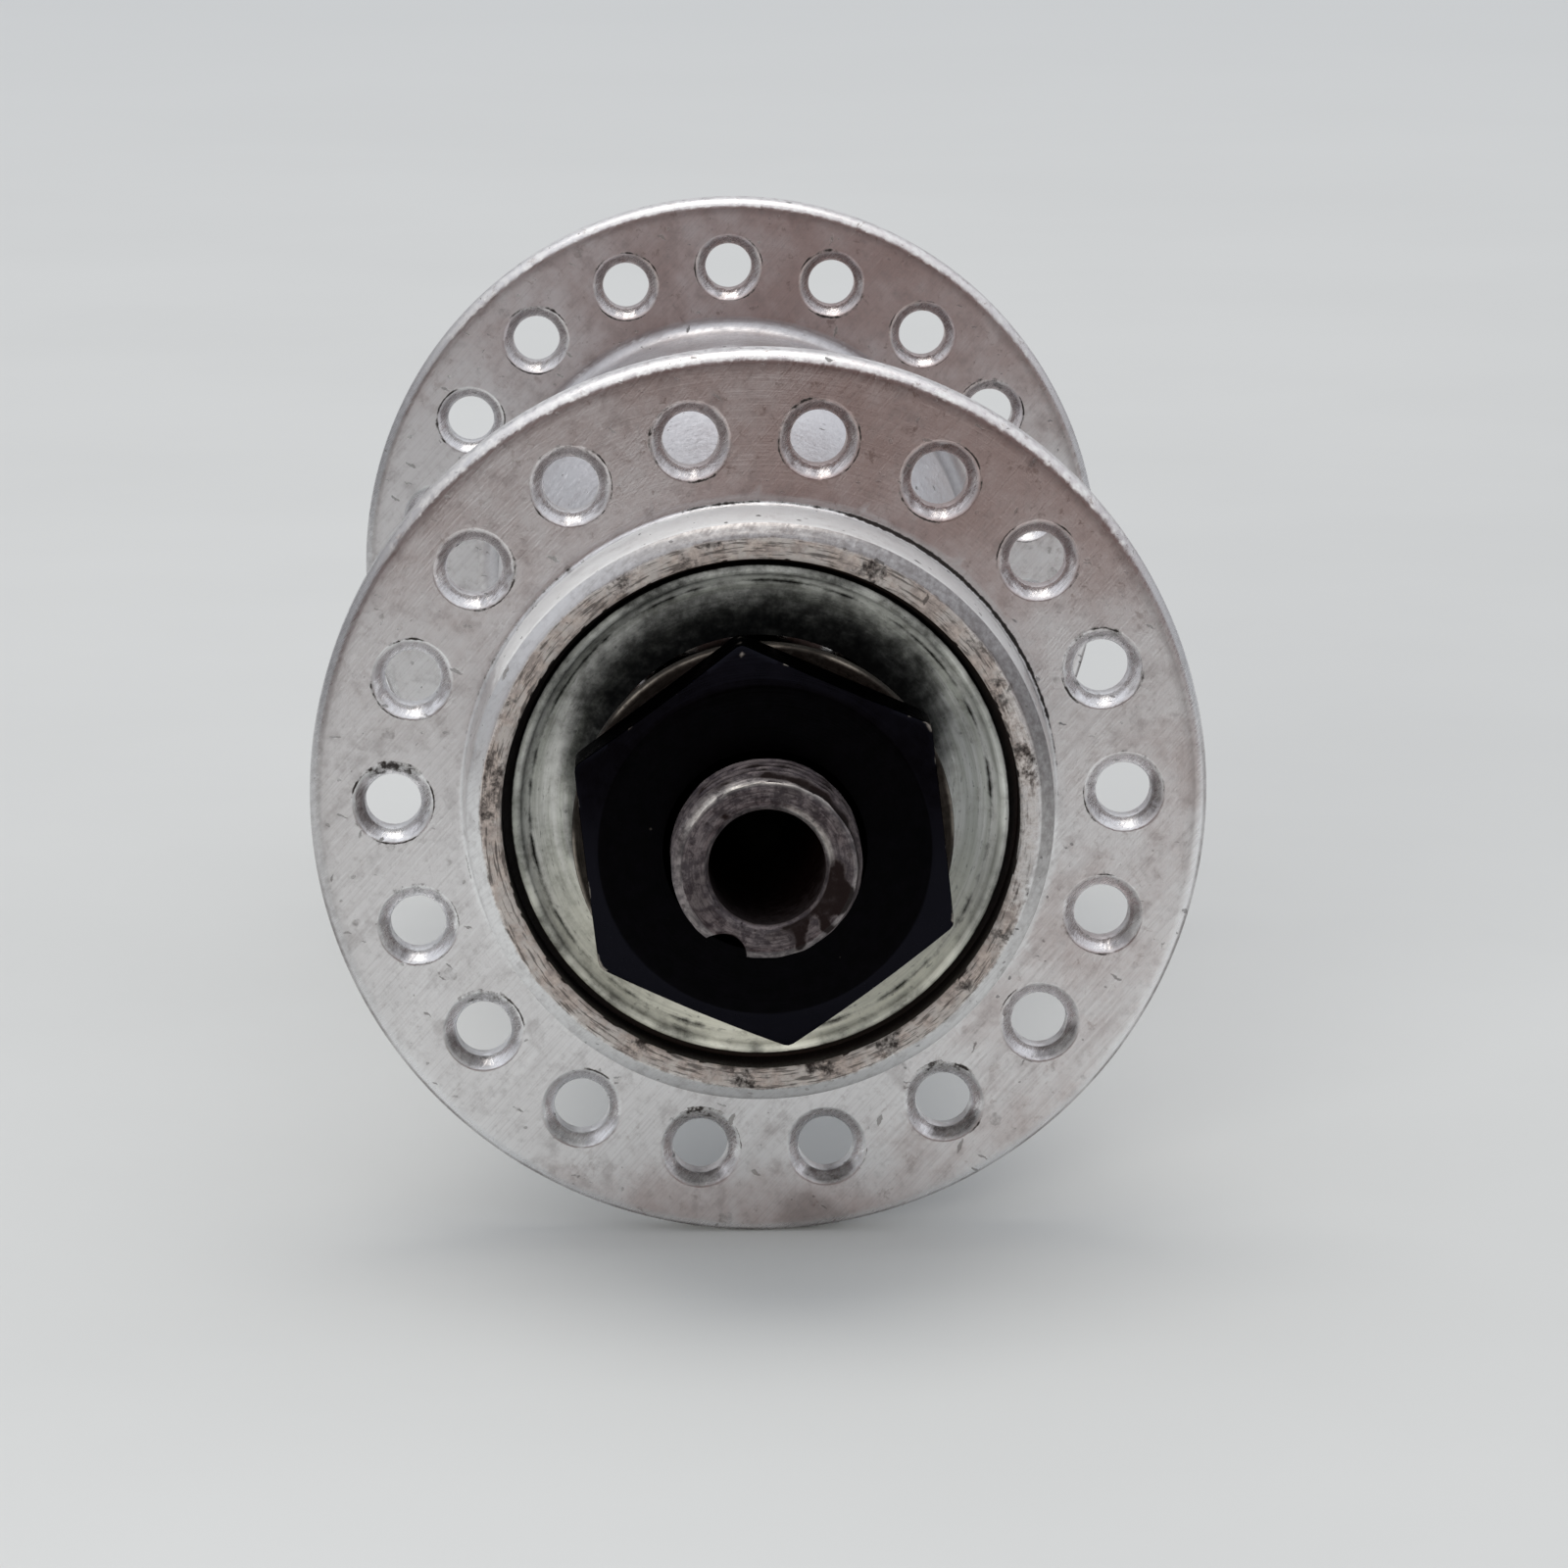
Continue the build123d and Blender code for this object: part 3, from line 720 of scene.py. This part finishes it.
# %% Both dust caps
def cap_wear(points):
    """grime: on the lip, a dark line in the crease, under the dish, and in the groove, where it is partly
    painted
    shade. rub: along the top of the lip. oil: grease that has crept out from the cone, with
    painted shade that reaches furthest at the top and on the left, where the nut and the boss shade the dish,
    and a thin film on the lip. dusty: the lower half, where the lip is dirtier and the dish is
    painted lighter, as if lit from above."""
    radius, angle, station = polar(points)
    streaks = drift(points, 1.5, 51) + 0.6 * drift(points, 0.5, 52)
    crease = band(radius, cap_crease[0], 0.13) * (0.34 + 0.4 * ramp(streaks, -0.7, 0.8))
    outside = ramp(radius, cap_radius - 0.1, cap_radius - 0.005)
    under = (station < 38.6) | (radius > cap_radius - 0.03)
    rub = band(radius, cap_radius - cap_sheet / 2, 0.13) * (station > lip_station)
    # The lip is dirty, most of all low down and high up, and the dish is painted lighter low down, as if lit
    # from above
    lip = ramp(radius, cap_crease[0] + 0.15, cap_crease[0] + 0.4) * (station > cap_foot + 1)
    dusty, high = ramp(-np.sin(angle), 0, 0.8), ramp(np.sin(angle), 0.6, 1)
    lip_grime = lip * (0.12 + 0.1 * dusty + 0.16 * high + 0.07 * streaks)
    grime = np.maximum(np.clip(crease + outside + under, 0, 1), lip_grime)
    # Grease round the hole, and painted shade where the nut and the boss shade the dish: it reaches further out
    # at the top and on the left, and lies thinly over the left side and the top
    oil_and_shade_reach = 9.0 + 2.65 * towards(angle, 88, -0.1, 0.9) + towards(angle, 190, 0.5, 1)
    oil = np.clip((oil_and_shade_reach - radius + 0.15 * streaks) / 1.9, 0, 1.4)
    thin = 0.13 * towards(angle, 180, -0.1, 0.7) + 0.17 * ramp(np.sin(angle), 0.1, 0.7)
    oil = np.maximum(oil, np.clip(thin + lip * (0.11 + 0.06 * streaks), 0, 1))
    return {"grime": np.clip(grime, 0, 1), "rub": rub * (0.5 + 0.5 * ramp(streaks, -0.5, 0.5)),
            "oil": oil, "dusty": dusty}


cap_angles = np.linspace(-np.pi, np.pi, 240, endpoint=False)
caps = []
for end, sign in end_signs.items():
    grid = turned(cap_section[:, 0], cap_section[:, 1], cap_angles)
    dish = (cap_section[:, 0] < cap_crease[0] + 0.3) & (cap_section[:, 1] > cap_hole[1] - 0.02)
    grid[..., 1] += dish[:, None] * 0.012 * drift(grid, 3.2, 53 + sign)
    grid[..., 1] *= sign
    caps.append(make_piece(
        f"{end}_cap_ring", [grid], "shell", f"{end}_dust_cap", cap_wear, 34))

# %% [markdown]
# ## Helpers for finishes
#
# A finish is a tree of shader nodes. One small function adds a node, its settings and what goes
# into its sockets, so a tree reads from top to bottom like a recipe. Colours are written as the
# hex values of a colour picker, and one function turns them into the shader's linear light.

# %% Nodes and colours
usual_settings = {"Mix": {"data_type": "RGBA"}, "MapRange": {"interpolation_type": "SMOOTHSTEP"}}


def linear(code):
    """Linear red, green, blue and 1 from an sRGB hex code: a part c of the colour gives c / 12.92 where it is
    dark, and elsewhere (c + 0.055) / 1.055 to the power of 2.4."""
    parts = [int(code[k:k + 2], 16) / 255 for k in (1, 3, 5)]
    return (*[c / 12.92 if c <= 0.04045 else ((c + 0.055) / 1.055) ** 2.4 for c in parts], 1.0)


def fill(node, values):
    """Puts values into a node's sockets, by place or name: the output of another node as a link, a hex code
    as its linear colour, and a number as it is."""
    for place, value in values.items():
        if isinstance(value, bpy.types.NodeSocket):
            node.id_data.links.new(value, node.inputs[place])
        else:
            node.inputs[place].default_value = linear(value) if isinstance(value, str) else value


def add_node(tree, kind, *values, out=None, **named):
    """Adds a node, such as "Mix" or "Math ADD", and returns its first open output or the named one.
    Values fill its open sockets in order, and named ones the socket or setting of that name. So Mix takes a
    share and two colours, TexNoise a place, a scale, a detail and a roughness, and MapRange a value, its low
    and high end and what they become, 0 and 1 unless told, with a smooth step between."""
    kind, _, operation = kind.partition(" ")
    made = tree.nodes.new("ShaderNode" + kind)
    settings = {"operation": operation} if operation else dict(usual_settings.get(kind, {}))
    settings.update((name, value) for name, value in named.items() if name not in made.inputs)
    for name, value in settings.items():
        setattr(made, name, value)
    places = [place for place, socket in enumerate(made.inputs) if socket.enabled]
    fill(made, dict(zip(places, values)) | {name: named[name] for name in named if name not in settings})
    return made.outputs[out] if out else next((socket for socket in made.outputs if socket.enabled), None)


def blank_material(name):
    """A new material with an empty tree. Returns it and the function that adds nodes to its tree."""
    material = bpy.data.materials.new(name)
    material.use_nodes = True
    material.node_tree.nodes.clear()
    return material, partial(add_node, material.node_tree)


def new_finish(name, *worn, metallic=1.0):
    """A new finish. Returns the material, the function that adds its nodes, its shader, the place on the piece
    in millimetres, and the numbers that the mesh carries under the names in worn."""
    material, add = blank_material(name)
    shader = add("BsdfPrincipled", Metallic=metallic)
    add("OutputMaterial", shader.node.outputs[0])
    place = add("VectorMath MULTIPLY", add("TexCoord", out="Object"), (1000, 1000, 1000))
    numbers = [add("Attribute", out="Fac", attribute_name=label) for label in worn]
    return material, add, shader.node, place, numbers


def layered(add, base, *layers):
    """Colours laid over a base, one after the other, each given as its share and its colour."""
    for share, colour in layers:
        base = add("Mix", share, base, colour)
    return base


def summed(add, start, *parts):
    """A number with others added to it, each given as a number and its factor."""
    for value, factor in parts:
        start = add("Math MULTIPLY_ADD", value, factor, start)
    return start


# %% [markdown]
# Three patterns come back in every finish here. **Lathe lines** run round the axle: a point's
# direction round the axle, slowly varying, and its distance along the profile, quickly varying,
# go into a noise, which stretches it into rings without a seam. **Scratches** are noise that is
# long one way and thin the other. **Specks** are spots of random size, one in some of the cells
# of a Voronoi pattern.


# %% Patterns that the finishes share
def lathe_lines(add, place, width, length, detail=2):
    """Rings round the axle, about width mm wide, that fade in and out over about length mm."""
    x, y, z = add("SeparateXYZ", place).node.outputs
    flat = add("CombineXYZ", X=x, Z=z)
    way = add("VectorMath NORMALIZE", flat)
    around = add("VectorMath SCALE", way, 15.0 / length)
    along = summed(add, add("VectorMath LENGTH", flat), (y, 0.37))
    lift = add("CombineXYZ", Y=add("Math MULTIPLY", along, 1.0 / width))
    return add("TexNoise", add("VectorMath ADD", around, lift), 1, detail, 0.6)


def scratches(add, place, turn, width, length, detail=3):
    """Straight marks in the plane across the axle, turned by an angle in degrees, width by length mm."""
    aligned = add("Mapping", place, Rotation=(0, math.radians(turn), 0), Scale=(length, width * 6, width),
                  vector_type="TEXTURE")
    return add("TexNoise", aligned, 1, detail, 0.55)


def specks(add, place, spacing, largest, share):
    """1 in round specks up to largest mm, in that share of the cells of a grid with that spacing, else 0."""
    cell = 1.0 / spacing
    distance = add("TexVoronoi", place, Scale=cell, out="Distance")
    luck = add("SeparateColor", distance.node.outputs["Color"])
    size = add("MapRange", luck, 1 - share, 1, -0.2, largest * cell, interpolation_type="LINEAR", clamp=False)
    return add("MapRange", add("Math SUBTRACT", distance, size), 0, 0.05, 1, 0)


def marks(add, place, turn, spacing, largest, share):
    """Specks drawn out four times along one direction, turned by an angle in degrees: short nicks."""
    aligned = add("Mapping", place, Rotation=(0, math.radians(turn), 0), Scale=(4, 2, 1), vector_type="TEXTURE")
    return specks(add, aligned, spacing / 2, largest / 2, share)


def crooked(add, place, size, reach):
    """The place shifted by up to reach mm, in swirls about size mm wide, so that marks aren't all alike."""
    swirl = add("TexNoise", place, 1.0 / size, 2, out="Color")
    return add("VectorMath MULTIPLY_ADD", swirl, (2 * reach,) * 3, place)


# %% [markdown]
# ## Turned and hand-rubbed aluminium
#
# The shell is bare aluminium alloy, turned, then rubbed with fine abrasive, which leaves lathe
# lines under straight scratches. Old bare aluminium tarnishes in cloudy patches, warm grey rather
# than white, and it collects dark pits. Handling rubs the rim bright, and dirt stays in creases
# and round the holes. Scratches of hundredths of a millimetre wouldn't show, so they are drawn at
# about a tenth.
# Painted light goes into the same colours: a painted reflection of a dark place high on the flanges, painted
# highlights on the tops of the rim and the boss's wall, painted shade in creases and seats and along the rim,
# and a bluish tint on the barrel, a painted reflection of the overhead light.

# %% Shell finish
aluminium, add, shader, place, (grime, rub, chalk, brown, tarnish, smoke, blue) = new_finish(
    "turned_aluminium_tarnished", "grime", "rub", "chalk", "brown", "tarnish", "smoke", "blue")
cloud = add("TexNoise", place, 0.16, 6, 0.62)
mottle = add("TexNoise", place, 0.9, 4, 0.6)
fine = add("TexNoise", place, 2.6, 4, 0.65)
lines = lathe_lines(add, place, 0.11, 9)
rubbed = scratches(add, place, -48, 0.09, 5)
crossed = scratches(add, place, -66, 0.13, 7, 2)
bent = crooked(add, place, 0.35, 0.16)
nicks = add("Math MAXIMUM", marks(add, bent, 25, 1.0, 0.15, 0.6), marks(add, bent, -70, 1.3, 0.18, 0.55))
dots = specks(add, bent, 0.6, 0.09, 0.45)
crowd = add("Math MULTIPLY", marks(add, bent, 10, 0.55, 0.13, 0.75), add("MapRange", mottle, 0.55, 0.64))
blots = specks(add, bent, 1.5, 0.34, 0.5)

# Tarnish in clouds with the painted reflection, white oxide with painted highlights, the film of smoke with
# painted shade, and the copper stain with its torn streaks
stain = summed(add, add("Math MULTIPLY", mottle, 0.3), (cloud, 0.7))
film = summed(add, stain, (tarnish, 0.6))
white = add("MapRange", summed(add, chalk, (fine, 0.7)), 0.72, 1.12)
white = add("Math MULTIPLY", white, add("MapRange", mottle, 0.3, 0.6, 0.6, 1))
smoke_and_shade_share = add("Math MULTIPLY", smoke, add("MapRange", fine, 0.25, 0.65, 0.7, 1))
stained = add("MapRange", summed(add, brown, (fine, 0.7)), 0.62, 1.05)
flecks = add("MapRange", lathe_lines(add, place, 0.13, 1.4, 3), 0.5, 0.64)
stains = add("TexNoise", place, 1.15, 6, 0.72, Distortion=0.4)
stains_here = add("MapRange", tarnish, 0.1, 0.8, 0.12, 0.5)
stains = add("Math MULTIPLY", add("MapRange", stains, 0.58, 0.68), stains_here)
copper = add("Mix", add("MapRange", fine, 0.25, 0.7), "#ab9c92", "#6e6059")
copper = add("Mix", add("MapRange", mottle, 0.42, 0.62, 0, 0.75), copper, "#a49f9b")

# Dirt: pits and nicks all over, packed grime and painted shade where the mesh says so, and streaks in the stain
dirt_marks = add("Math MAXIMUM", add("Math MULTIPLY", dots, 0.5), add("Math MULTIPLY", crowd, 0.55))
dirt_marks = add("Math MAXIMUM", add("Math MULTIPLY", nicks, 0.75), dirt_marks)
dirt = add("Math MAXIMUM", dirt_marks, add("MapRange", summed(add, grime, (fine, 0.6)), 0.8, 1))
dirt = add("Math MAXIMUM", dirt, add("Math MULTIPLY", add("Math MULTIPLY", flecks, stained), 0.72))

base = layered(
    add, add("Mix", add("MapRange", film, 0.55, 1.15), "#f8f8f8", "#c7b2ad"),
    (add("MapRange", stain, 0.47, 0.75, 0, 0.25), "#b9b3ae"),
    (add("MapRange", rubbed, 0.42, 0.75, 0, 0.13), "#8f8785"),
    (add("MapRange", mottle, 0.52, 0.72, 0, 0.3), "#a8a3a3"),
    (add("MapRange", fine, 0.5, 0.74, 0, 0.2), "#8f8a87"),
    (add("Math MULTIPLY", blots, add("MapRange", fine, 0.3, 0.7, 0, 0.4)), "#77716e"),
    # The barrel's bluish tint, here and in its white, is a painted reflection of the overhead light
    (add("Math MULTIPLY", blue, 0.4), "#dddde4"),
    (add("Math MULTIPLY", rub, 0.7), "#f4f4f6"),
    (white, add("Mix", blue, "#eaebeb", "#e3e4e9")),
    (smoke_and_shade_share, "#787271"),
    (stains, "#7d6459"),
    (add("Math MULTIPLY", stained, 0.86), copper),
    (dirt, "#1d1613"),
)
dull = add("Math MAXIMUM", add("Math MAXIMUM", dirt, white), stained)
gloss = summed(add, add("MapRange", rubbed, 0.3, 0.7, 0.27, 0.4), (lines, 0.1), (dull, 0.25), (rub, -0.14))
bare = add("Math MINIMUM", add("MapRange", dirt, 0.2, 0.9, 1, 0.1), add("MapRange", white, 0, 1, 1, 0.35))
bare = add("Math MINIMUM", bare, add("MapRange", stained, 0, 1, 1, 0.4))
relief = summed(add, add("Math MULTIPLY", rubbed, 0.7), (lines, 0.5), (crossed, 0.5), (dirt_marks, -1.6))
relief = add("Math ADD", relief, add("Math MULTIPLY", fine, add("MapRange", blue, 0, 1, 0.9, 0.25)))
fill(shader, {"Base Color": base, "Roughness": gloss, "Metallic": bare,
              "Normal": add("Bump", Height=relief, Distance=0.000012)})
shell.data.materials.append(aluminium)
print("nodes in the shell's finish:", len(aluminium.node_tree.nodes))

# %% [markdown]
# ## Worn steel of the axle and washers
#
# The axle is plain carbon steel: dull brown-grey where it is dirty, brighter on the edges, with
# oil dried on it in dark spots. The washer is the same steel, darker, with a fine bright line
# where it has turned against its neighbour.


# %% Axle and washer finishes
def dirty_steel(name, bright, bare, dull, dark, gloss_low, gloss_high, depth):
    """Dull steel with lathe lines and dried oil: bright where rubbed, dark where grimy."""
    material, add, shader, place, (grime, rub) = new_finish(name, "grime", "rub")
    lines = lathe_lines(add, place, 0.1, 4)
    mottle = add("TexNoise", place, 2.2, 6, 0.7)
    spots = specks(add, place, 0.55, 0.12, 0.4)
    rub = add("Math MULTIPLY", rub, add("MapRange", mottle, 0.3, 0.6, 0.45, 1))
    dirt = add("MapRange", summed(add, grime, (mottle, 0.8)), 0.7, 1.3)
    dirt = add("Math MAXIMUM", dirt, add("Math MULTIPLY", spots, 0.7))
    base = layered(
        add, add("Mix", add("MapRange", mottle, 0.38, 0.62), dull, bare),
        (add("MapRange", lines, 0.45, 0.65, 0, 0.7), dull), (rub, bright), (dirt, dark),
    )
    gloss = add("MapRange", mottle, 0.3, 0.7, gloss_low, gloss_high)
    fill(shader, {
        "Base Color": base,
        "Roughness": summed(add, gloss, (rub, -0.08), (dirt, 0.25)),
        "Metallic": summed(add, add("MapRange", dirt, 0.2, 0.9, 1, 0.15), (rub, -0.5)),
        "Normal": add("Bump", Height=summed(add, lines, (mottle, 2), (spots, -0.8)), Distance=depth),
        "Specular IOR Level": 0.2,
    })
    return material


axle.data.materials.append(
    dirty_steel("carbon_steel_worn", "#f0ede6", "#898182", "#4e484b", "#120807", 0.32, 0.48, 0.00002))
washer_steel = dirty_steel(
    "stamped_steel_grimy", "#8f887e", "#48433e", "#322e2a", "#0a0908", 0.42, 0.52, 0.000015)
for washer in washers:
    washer.data.materials.append(washer_steel)

# %% [markdown]
# ## Black oxide on the locknuts
#
# Black oxide is a thin dark skin grown on steel in a hot bath. It is nearly black, with a slight
# violet cast, and satin, and its gloss follows the machining under it. It rubs off first along
# corners and edges, where bare steel shows as thin bright lines.

# %% Locknut finish
oxide, add, shader, place, (grime, rub, cone) = new_finish("black_oxide_steel_satin", "grime", "rub", "cone")
lines = lathe_lines(add, place, 0.12, 12)
mottle = add("TexNoise", place, 1.3, 5, 0.65)
dust = specks(add, place, 0.9, 0.05, 0.3)
base = layered(
    add, add("Mix", add("MapRange", mottle, 0.35, 0.7), "#09090a", "#0e0d10"),
    (add("Math MULTIPLY", cone, 0.28), "#292933"),
    (add("Math MULTIPLY", dust, 0.5), "#5a554f"),
    (add("MapRange", summed(add, rub, (mottle, 0.8)), 0.95, 1.35), "#9a948c"),
)
fill(shader, {
    "Base Color": base,
    "Roughness": summed(add, add("MapRange", mottle, 0.3, 0.7, 0.25, 0.36), (grime, 0.12)),
    "Specular Tint": "#4a4a50",
    "Normal": add("Bump", Height=summed(add, lines, (mottle, 0.8)), Distance=0.000008),
})
for nut in locknuts:
    nut.data.materials.append(oxide)

# %% [markdown]
# ## Zinc plate on the dust caps
#
# Zinc plating on pressed steel starts bright and goes dull greenish grey. Here wiping has streaked
# it round the cap, and dark grit has cut through it. A film of oil, which also carries painted shade, darkens
# by the same factor for each step in its thickness, so the light left is 0.02 to the power of the thickness.
# The painted shade is darkest at the top and on the left of the dish, and the lower half of the dish is
# painted lighter, as if lit from above.

# %% Dust cap finish
zinc, add, shader, place, (grime, rub, oil, dusty) = new_finish(
    "zinc_plated_steel_dull", "grime", "rub", "oil", "dusty")
streaks = lathe_lines(add, place, 0.35, 14, 5)
lines = lathe_lines(add, place, 0.09, 6)
mottle = add("TexNoise", place, 1.2, 6, 0.7)
spots = add("Math MAXIMUM", specks(add, place, 1.1, 0.12, 0.4), specks(add, place, 0.5, 0.08, 0.4))
flecks = add("MapRange", lathe_lines(add, place, 0.1, 0.7, 3), 0.6, 0.72)
dirt = add("Math MAXIMUM", add("Math MULTIPLY", flecks, 0.38), add("Math MULTIPLY", spots, 0.42))
dirt = add("Math MAXIMUM", add("MapRange", summed(add, grime, (mottle, 0.9)), 0.6, 1.25), dirt)
base = layered(
    add, add("Mix", add("MapRange", streaks, 0.36, 0.66), "#fcfefb", "#d9ddd5"),
    # Painted light: the lower half of the dish is lighter
    (add("Math MULTIPLY", dusty, 0.75), "#efeedd"),
    (add("MapRange", mottle, 0.48, 0.75, 0, 0.4), "#a29f92"),
    (add("MapRange", lines, 0.45, 0.65, 0, 0.2), "#8d8f84"),
    (add("Math MULTIPLY", rub, 0.25), "#e4e8e2"),
    (dirt, "#191712"),
)
# Grease and painted shade darken the colour, by 0.02 to the power of their thickness
oil = add("Math MULTIPLY", oil, add("MapRange", mottle, 0.3, 0.7, 0.75, 1.25))
fill(shader, {
    "Base Color": add("Mix", add("Math POWER", 0.02, oil), "#010203", base),
    "Roughness": summed(add, add("MapRange", streaks, 0.35, 0.7, 0.42, 0.55), (dirt, 0.3)),
    "Metallic": add("MapRange", dirt, 0.2, 0.9, 0.2, 0.05),
    "Specular IOR Level": 0.15,
    "Normal": add("Bump", Height=summed(add, lines, (mottle, 1.2), (flecks, -0.8)), Distance=0.00001),
})
for cap in caps:
    cap.data.materials.append(zinc)

# %% [markdown]
# ## Bearings
#
# Cups, cones and balls are hardened steel and keep the solids' shapes. The ground races get very
# fine lathe lines, the balls are polished, and a thin film of grease darkens all of them unevenly.


# %% Bearing finishes
def ground_steel(name, bright, film, gloss, line_width, depth):
    """Ground, greased steel: fine lathe lines, and a cloudy brown film of grease."""
    material, add, shader, place, _ = new_finish(name)
    lines = lathe_lines(add, place, line_width, 10)
    cloud = add("TexNoise", place, 0.5, 5, 0.6)
    fill(shader, {
        "Base Color": add("Mix", add("MapRange", cloud, 0.35, 0.7), bright, film),
        "Roughness": summed(add, add("MapRange", cloud, 0.3, 0.7, gloss, gloss + 0.15), (lines, 0.08)),
        "Normal": add("Bump", Height=lines, Distance=depth),
    })
    return material


race_steel = ground_steel("hardened_steel_ground", "#8f8c88", "#5d544b", 0.24, 0.08, 0.000006)
ball_steel = ground_steel("ball_steel_polished", "#c9c9cb", "#6a5d50", 0.08, 0.5, 0.000001)
bearings = [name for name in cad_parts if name.endswith(("_cup", "_cone")) or "_ball_" in name]
for name in bearings:
    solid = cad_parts[name]
    solid.data.materials.clear()
    solid.data.materials.append(ball_steel if "_ball_" in name else race_steel)
print("solids that keep their own shape:", len(bearings))

# %% [markdown]
# ## Stage and light
#
# The hub stands on its two rims on plain pale card, under one large soft light with a pale room
# round it. Bare metal shows what it reflects: the dark upper half of the flange in the photograph
# is the reflection of the dark place where the photographer stands. A dark panel there, which
# only reflections see, gives the same.

# %% Floor
floor_level = -flange_radius * MM
bpy.ops.mesh.primitive_plane_add(size=8, location=(0, 0, floor_level))
floor = bpy.context.object
floor.name = "floor"
card, add, shader, place, _ = new_finish("matt_card_pale", metallic=0.0)
cloud = add("TexNoise", place, 0.012, 5, 0.55)
nearby = add("Mix", add("MapRange", cloud, 0.3, 0.7), "#d5d7d6", "#d1d3d2")
# Painted light and shade: the card is darker in front and lighter further back, from 60 mm in front of the
# hub's middle to a metre behind it
behind = add("MapRange", add("SeparateXYZ", place, out="Y"), -60, 1100)
fill(shader, {"Base Color": add("Mix", behind, nearby, "#e6e8e6"),
              "Roughness": 0.85, "Specular IOR Level": 0.2})
floor.data.materials.append(card)

# %% Reflected dark panel
panel_corners = [(-0.4, -0.215, floor_level), (0.4, -0.215, floor_level), (0.4, -0.6, 0.5), (-0.4, -0.6, 0.5)]
panel_mesh = bpy.data.meshes.new("dark_panel")
panel_mesh.from_pydata(panel_corners, [], [(0, 1, 2, 3)])
panel = bpy.data.objects.new("dark_panel", panel_mesh)
scene.collection.objects.link(panel)
cloth, add = blank_material("dark_cloth")
add("OutputMaterial", add("Emission", "#6b5a58", 1.0))
panel.data.materials.append(cloth)
panel.visible_camera = panel.visible_diffuse = panel.visible_shadow = panel.visible_transmission = False

# %% Room and lamps
room = bpy.data.worlds.new("pale_room")
scene.world = room
room.use_nodes = True
add = partial(add_node, room.node_tree)
up = add("SeparateXYZ", add("TexCoord", out="Generated"), out="Z")
fill(room.node_tree.nodes["Background"],
     {"Color": add("Mix", add("MapRange", up, 0, 0.85), "#a4a5a8", "#eff1f7"), "Strength": 0.89})


def lamp(name, place, aim, size, power, tint):
    """A soft square lamp at a place in metres, turned to face a point."""
    light = bpy.data.lights.new(name, "AREA")
    light.size, light.energy, light.color = size, power, linear(tint)[:3]
    holder = bpy.data.objects.new(name, light)
    scene.collection.objects.link(holder)
    holder.location = place
    holder.rotation_euler = (Vector(place) - Vector(aim)).to_track_quat("Z", "Y").to_euler()
    return holder


lamp("overhead_softbox", (-0.05, 0.08, 0.9), (0, 0, 0), 0.6, 2.4, "#fff9f0")
# A weak light from the front left brings out the recess of the dust cap. Only matt places see it
front_fill = lamp("front_fill", (-0.2, -0.57, 0.07), (0, -0.04, 0), 0.2, 2.3, "#fffdf8")
front_fill.visible_glossy = front_fill.visible_camera = False

# %% [markdown]
# ## Camera
#
# The photograph was taken from close by and a little above, looking nearly along the axle. The
# place and the long lens were found by matching the rims, the holes and the axle's end, so the
# far flange stands above the near one by the same amount. The frame is square.


# %% Camera at the photograph's viewing angle
def swung(first, second, angle):
    """Two directions at right angles, turned in their own plane: cos and sin of the angle mix them."""
    return (math.cos(angle) * first + math.sin(angle) * second,
            math.cos(angle) * second - math.sin(angle) * first)


camera_distance = 0.347288
camera_turn, camera_height = -0.020052, 0.175659
aim_right, aim_down = -40.827, -120.993
focal = 6447.23
picture = 1600

level = math.cos(camera_height)
back = np.array([math.sin(camera_turn) * level, -math.cos(camera_turn) * level, math.sin(camera_height)])
forward = -back
right = np.cross(forward, [0, 0, 1])
right /= np.linalg.norm(right)
up = np.cross(right, forward)
# The middle of the picture lies beside the hub's middle, so the camera turns by the angles to that point
sight = np.array([aim_right, -aim_down, focal])
sight /= np.linalg.norm(sight)
forward, right = swung(forward, right, -math.atan2(sight[0], sight[2]))
forward, up = swung(forward, up, -math.asin(sight[1]))

lens = bpy.data.cameras.new("long_lens")
lens.sensor_width = 36
lens.lens = focal / picture * lens.sensor_width
lens.clip_start, lens.clip_end = 0.01, 20
camera = bpy.data.objects.new("camera", lens)
scene.collection.objects.link(camera)
camera_frame = np.eye(4)
camera_frame[:3] = np.stack([right, up, -forward, back * camera_distance], 1)
camera.matrix_world = [list(row) for row in camera_frame.T]
scene.camera = camera
scene.view_settings.view_transform = "Standard"
scene.view_settings.look = "None"
print("lens", round(lens.lens, 2), "mm; camera", np.round(camera_frame[:3, 3], 4))
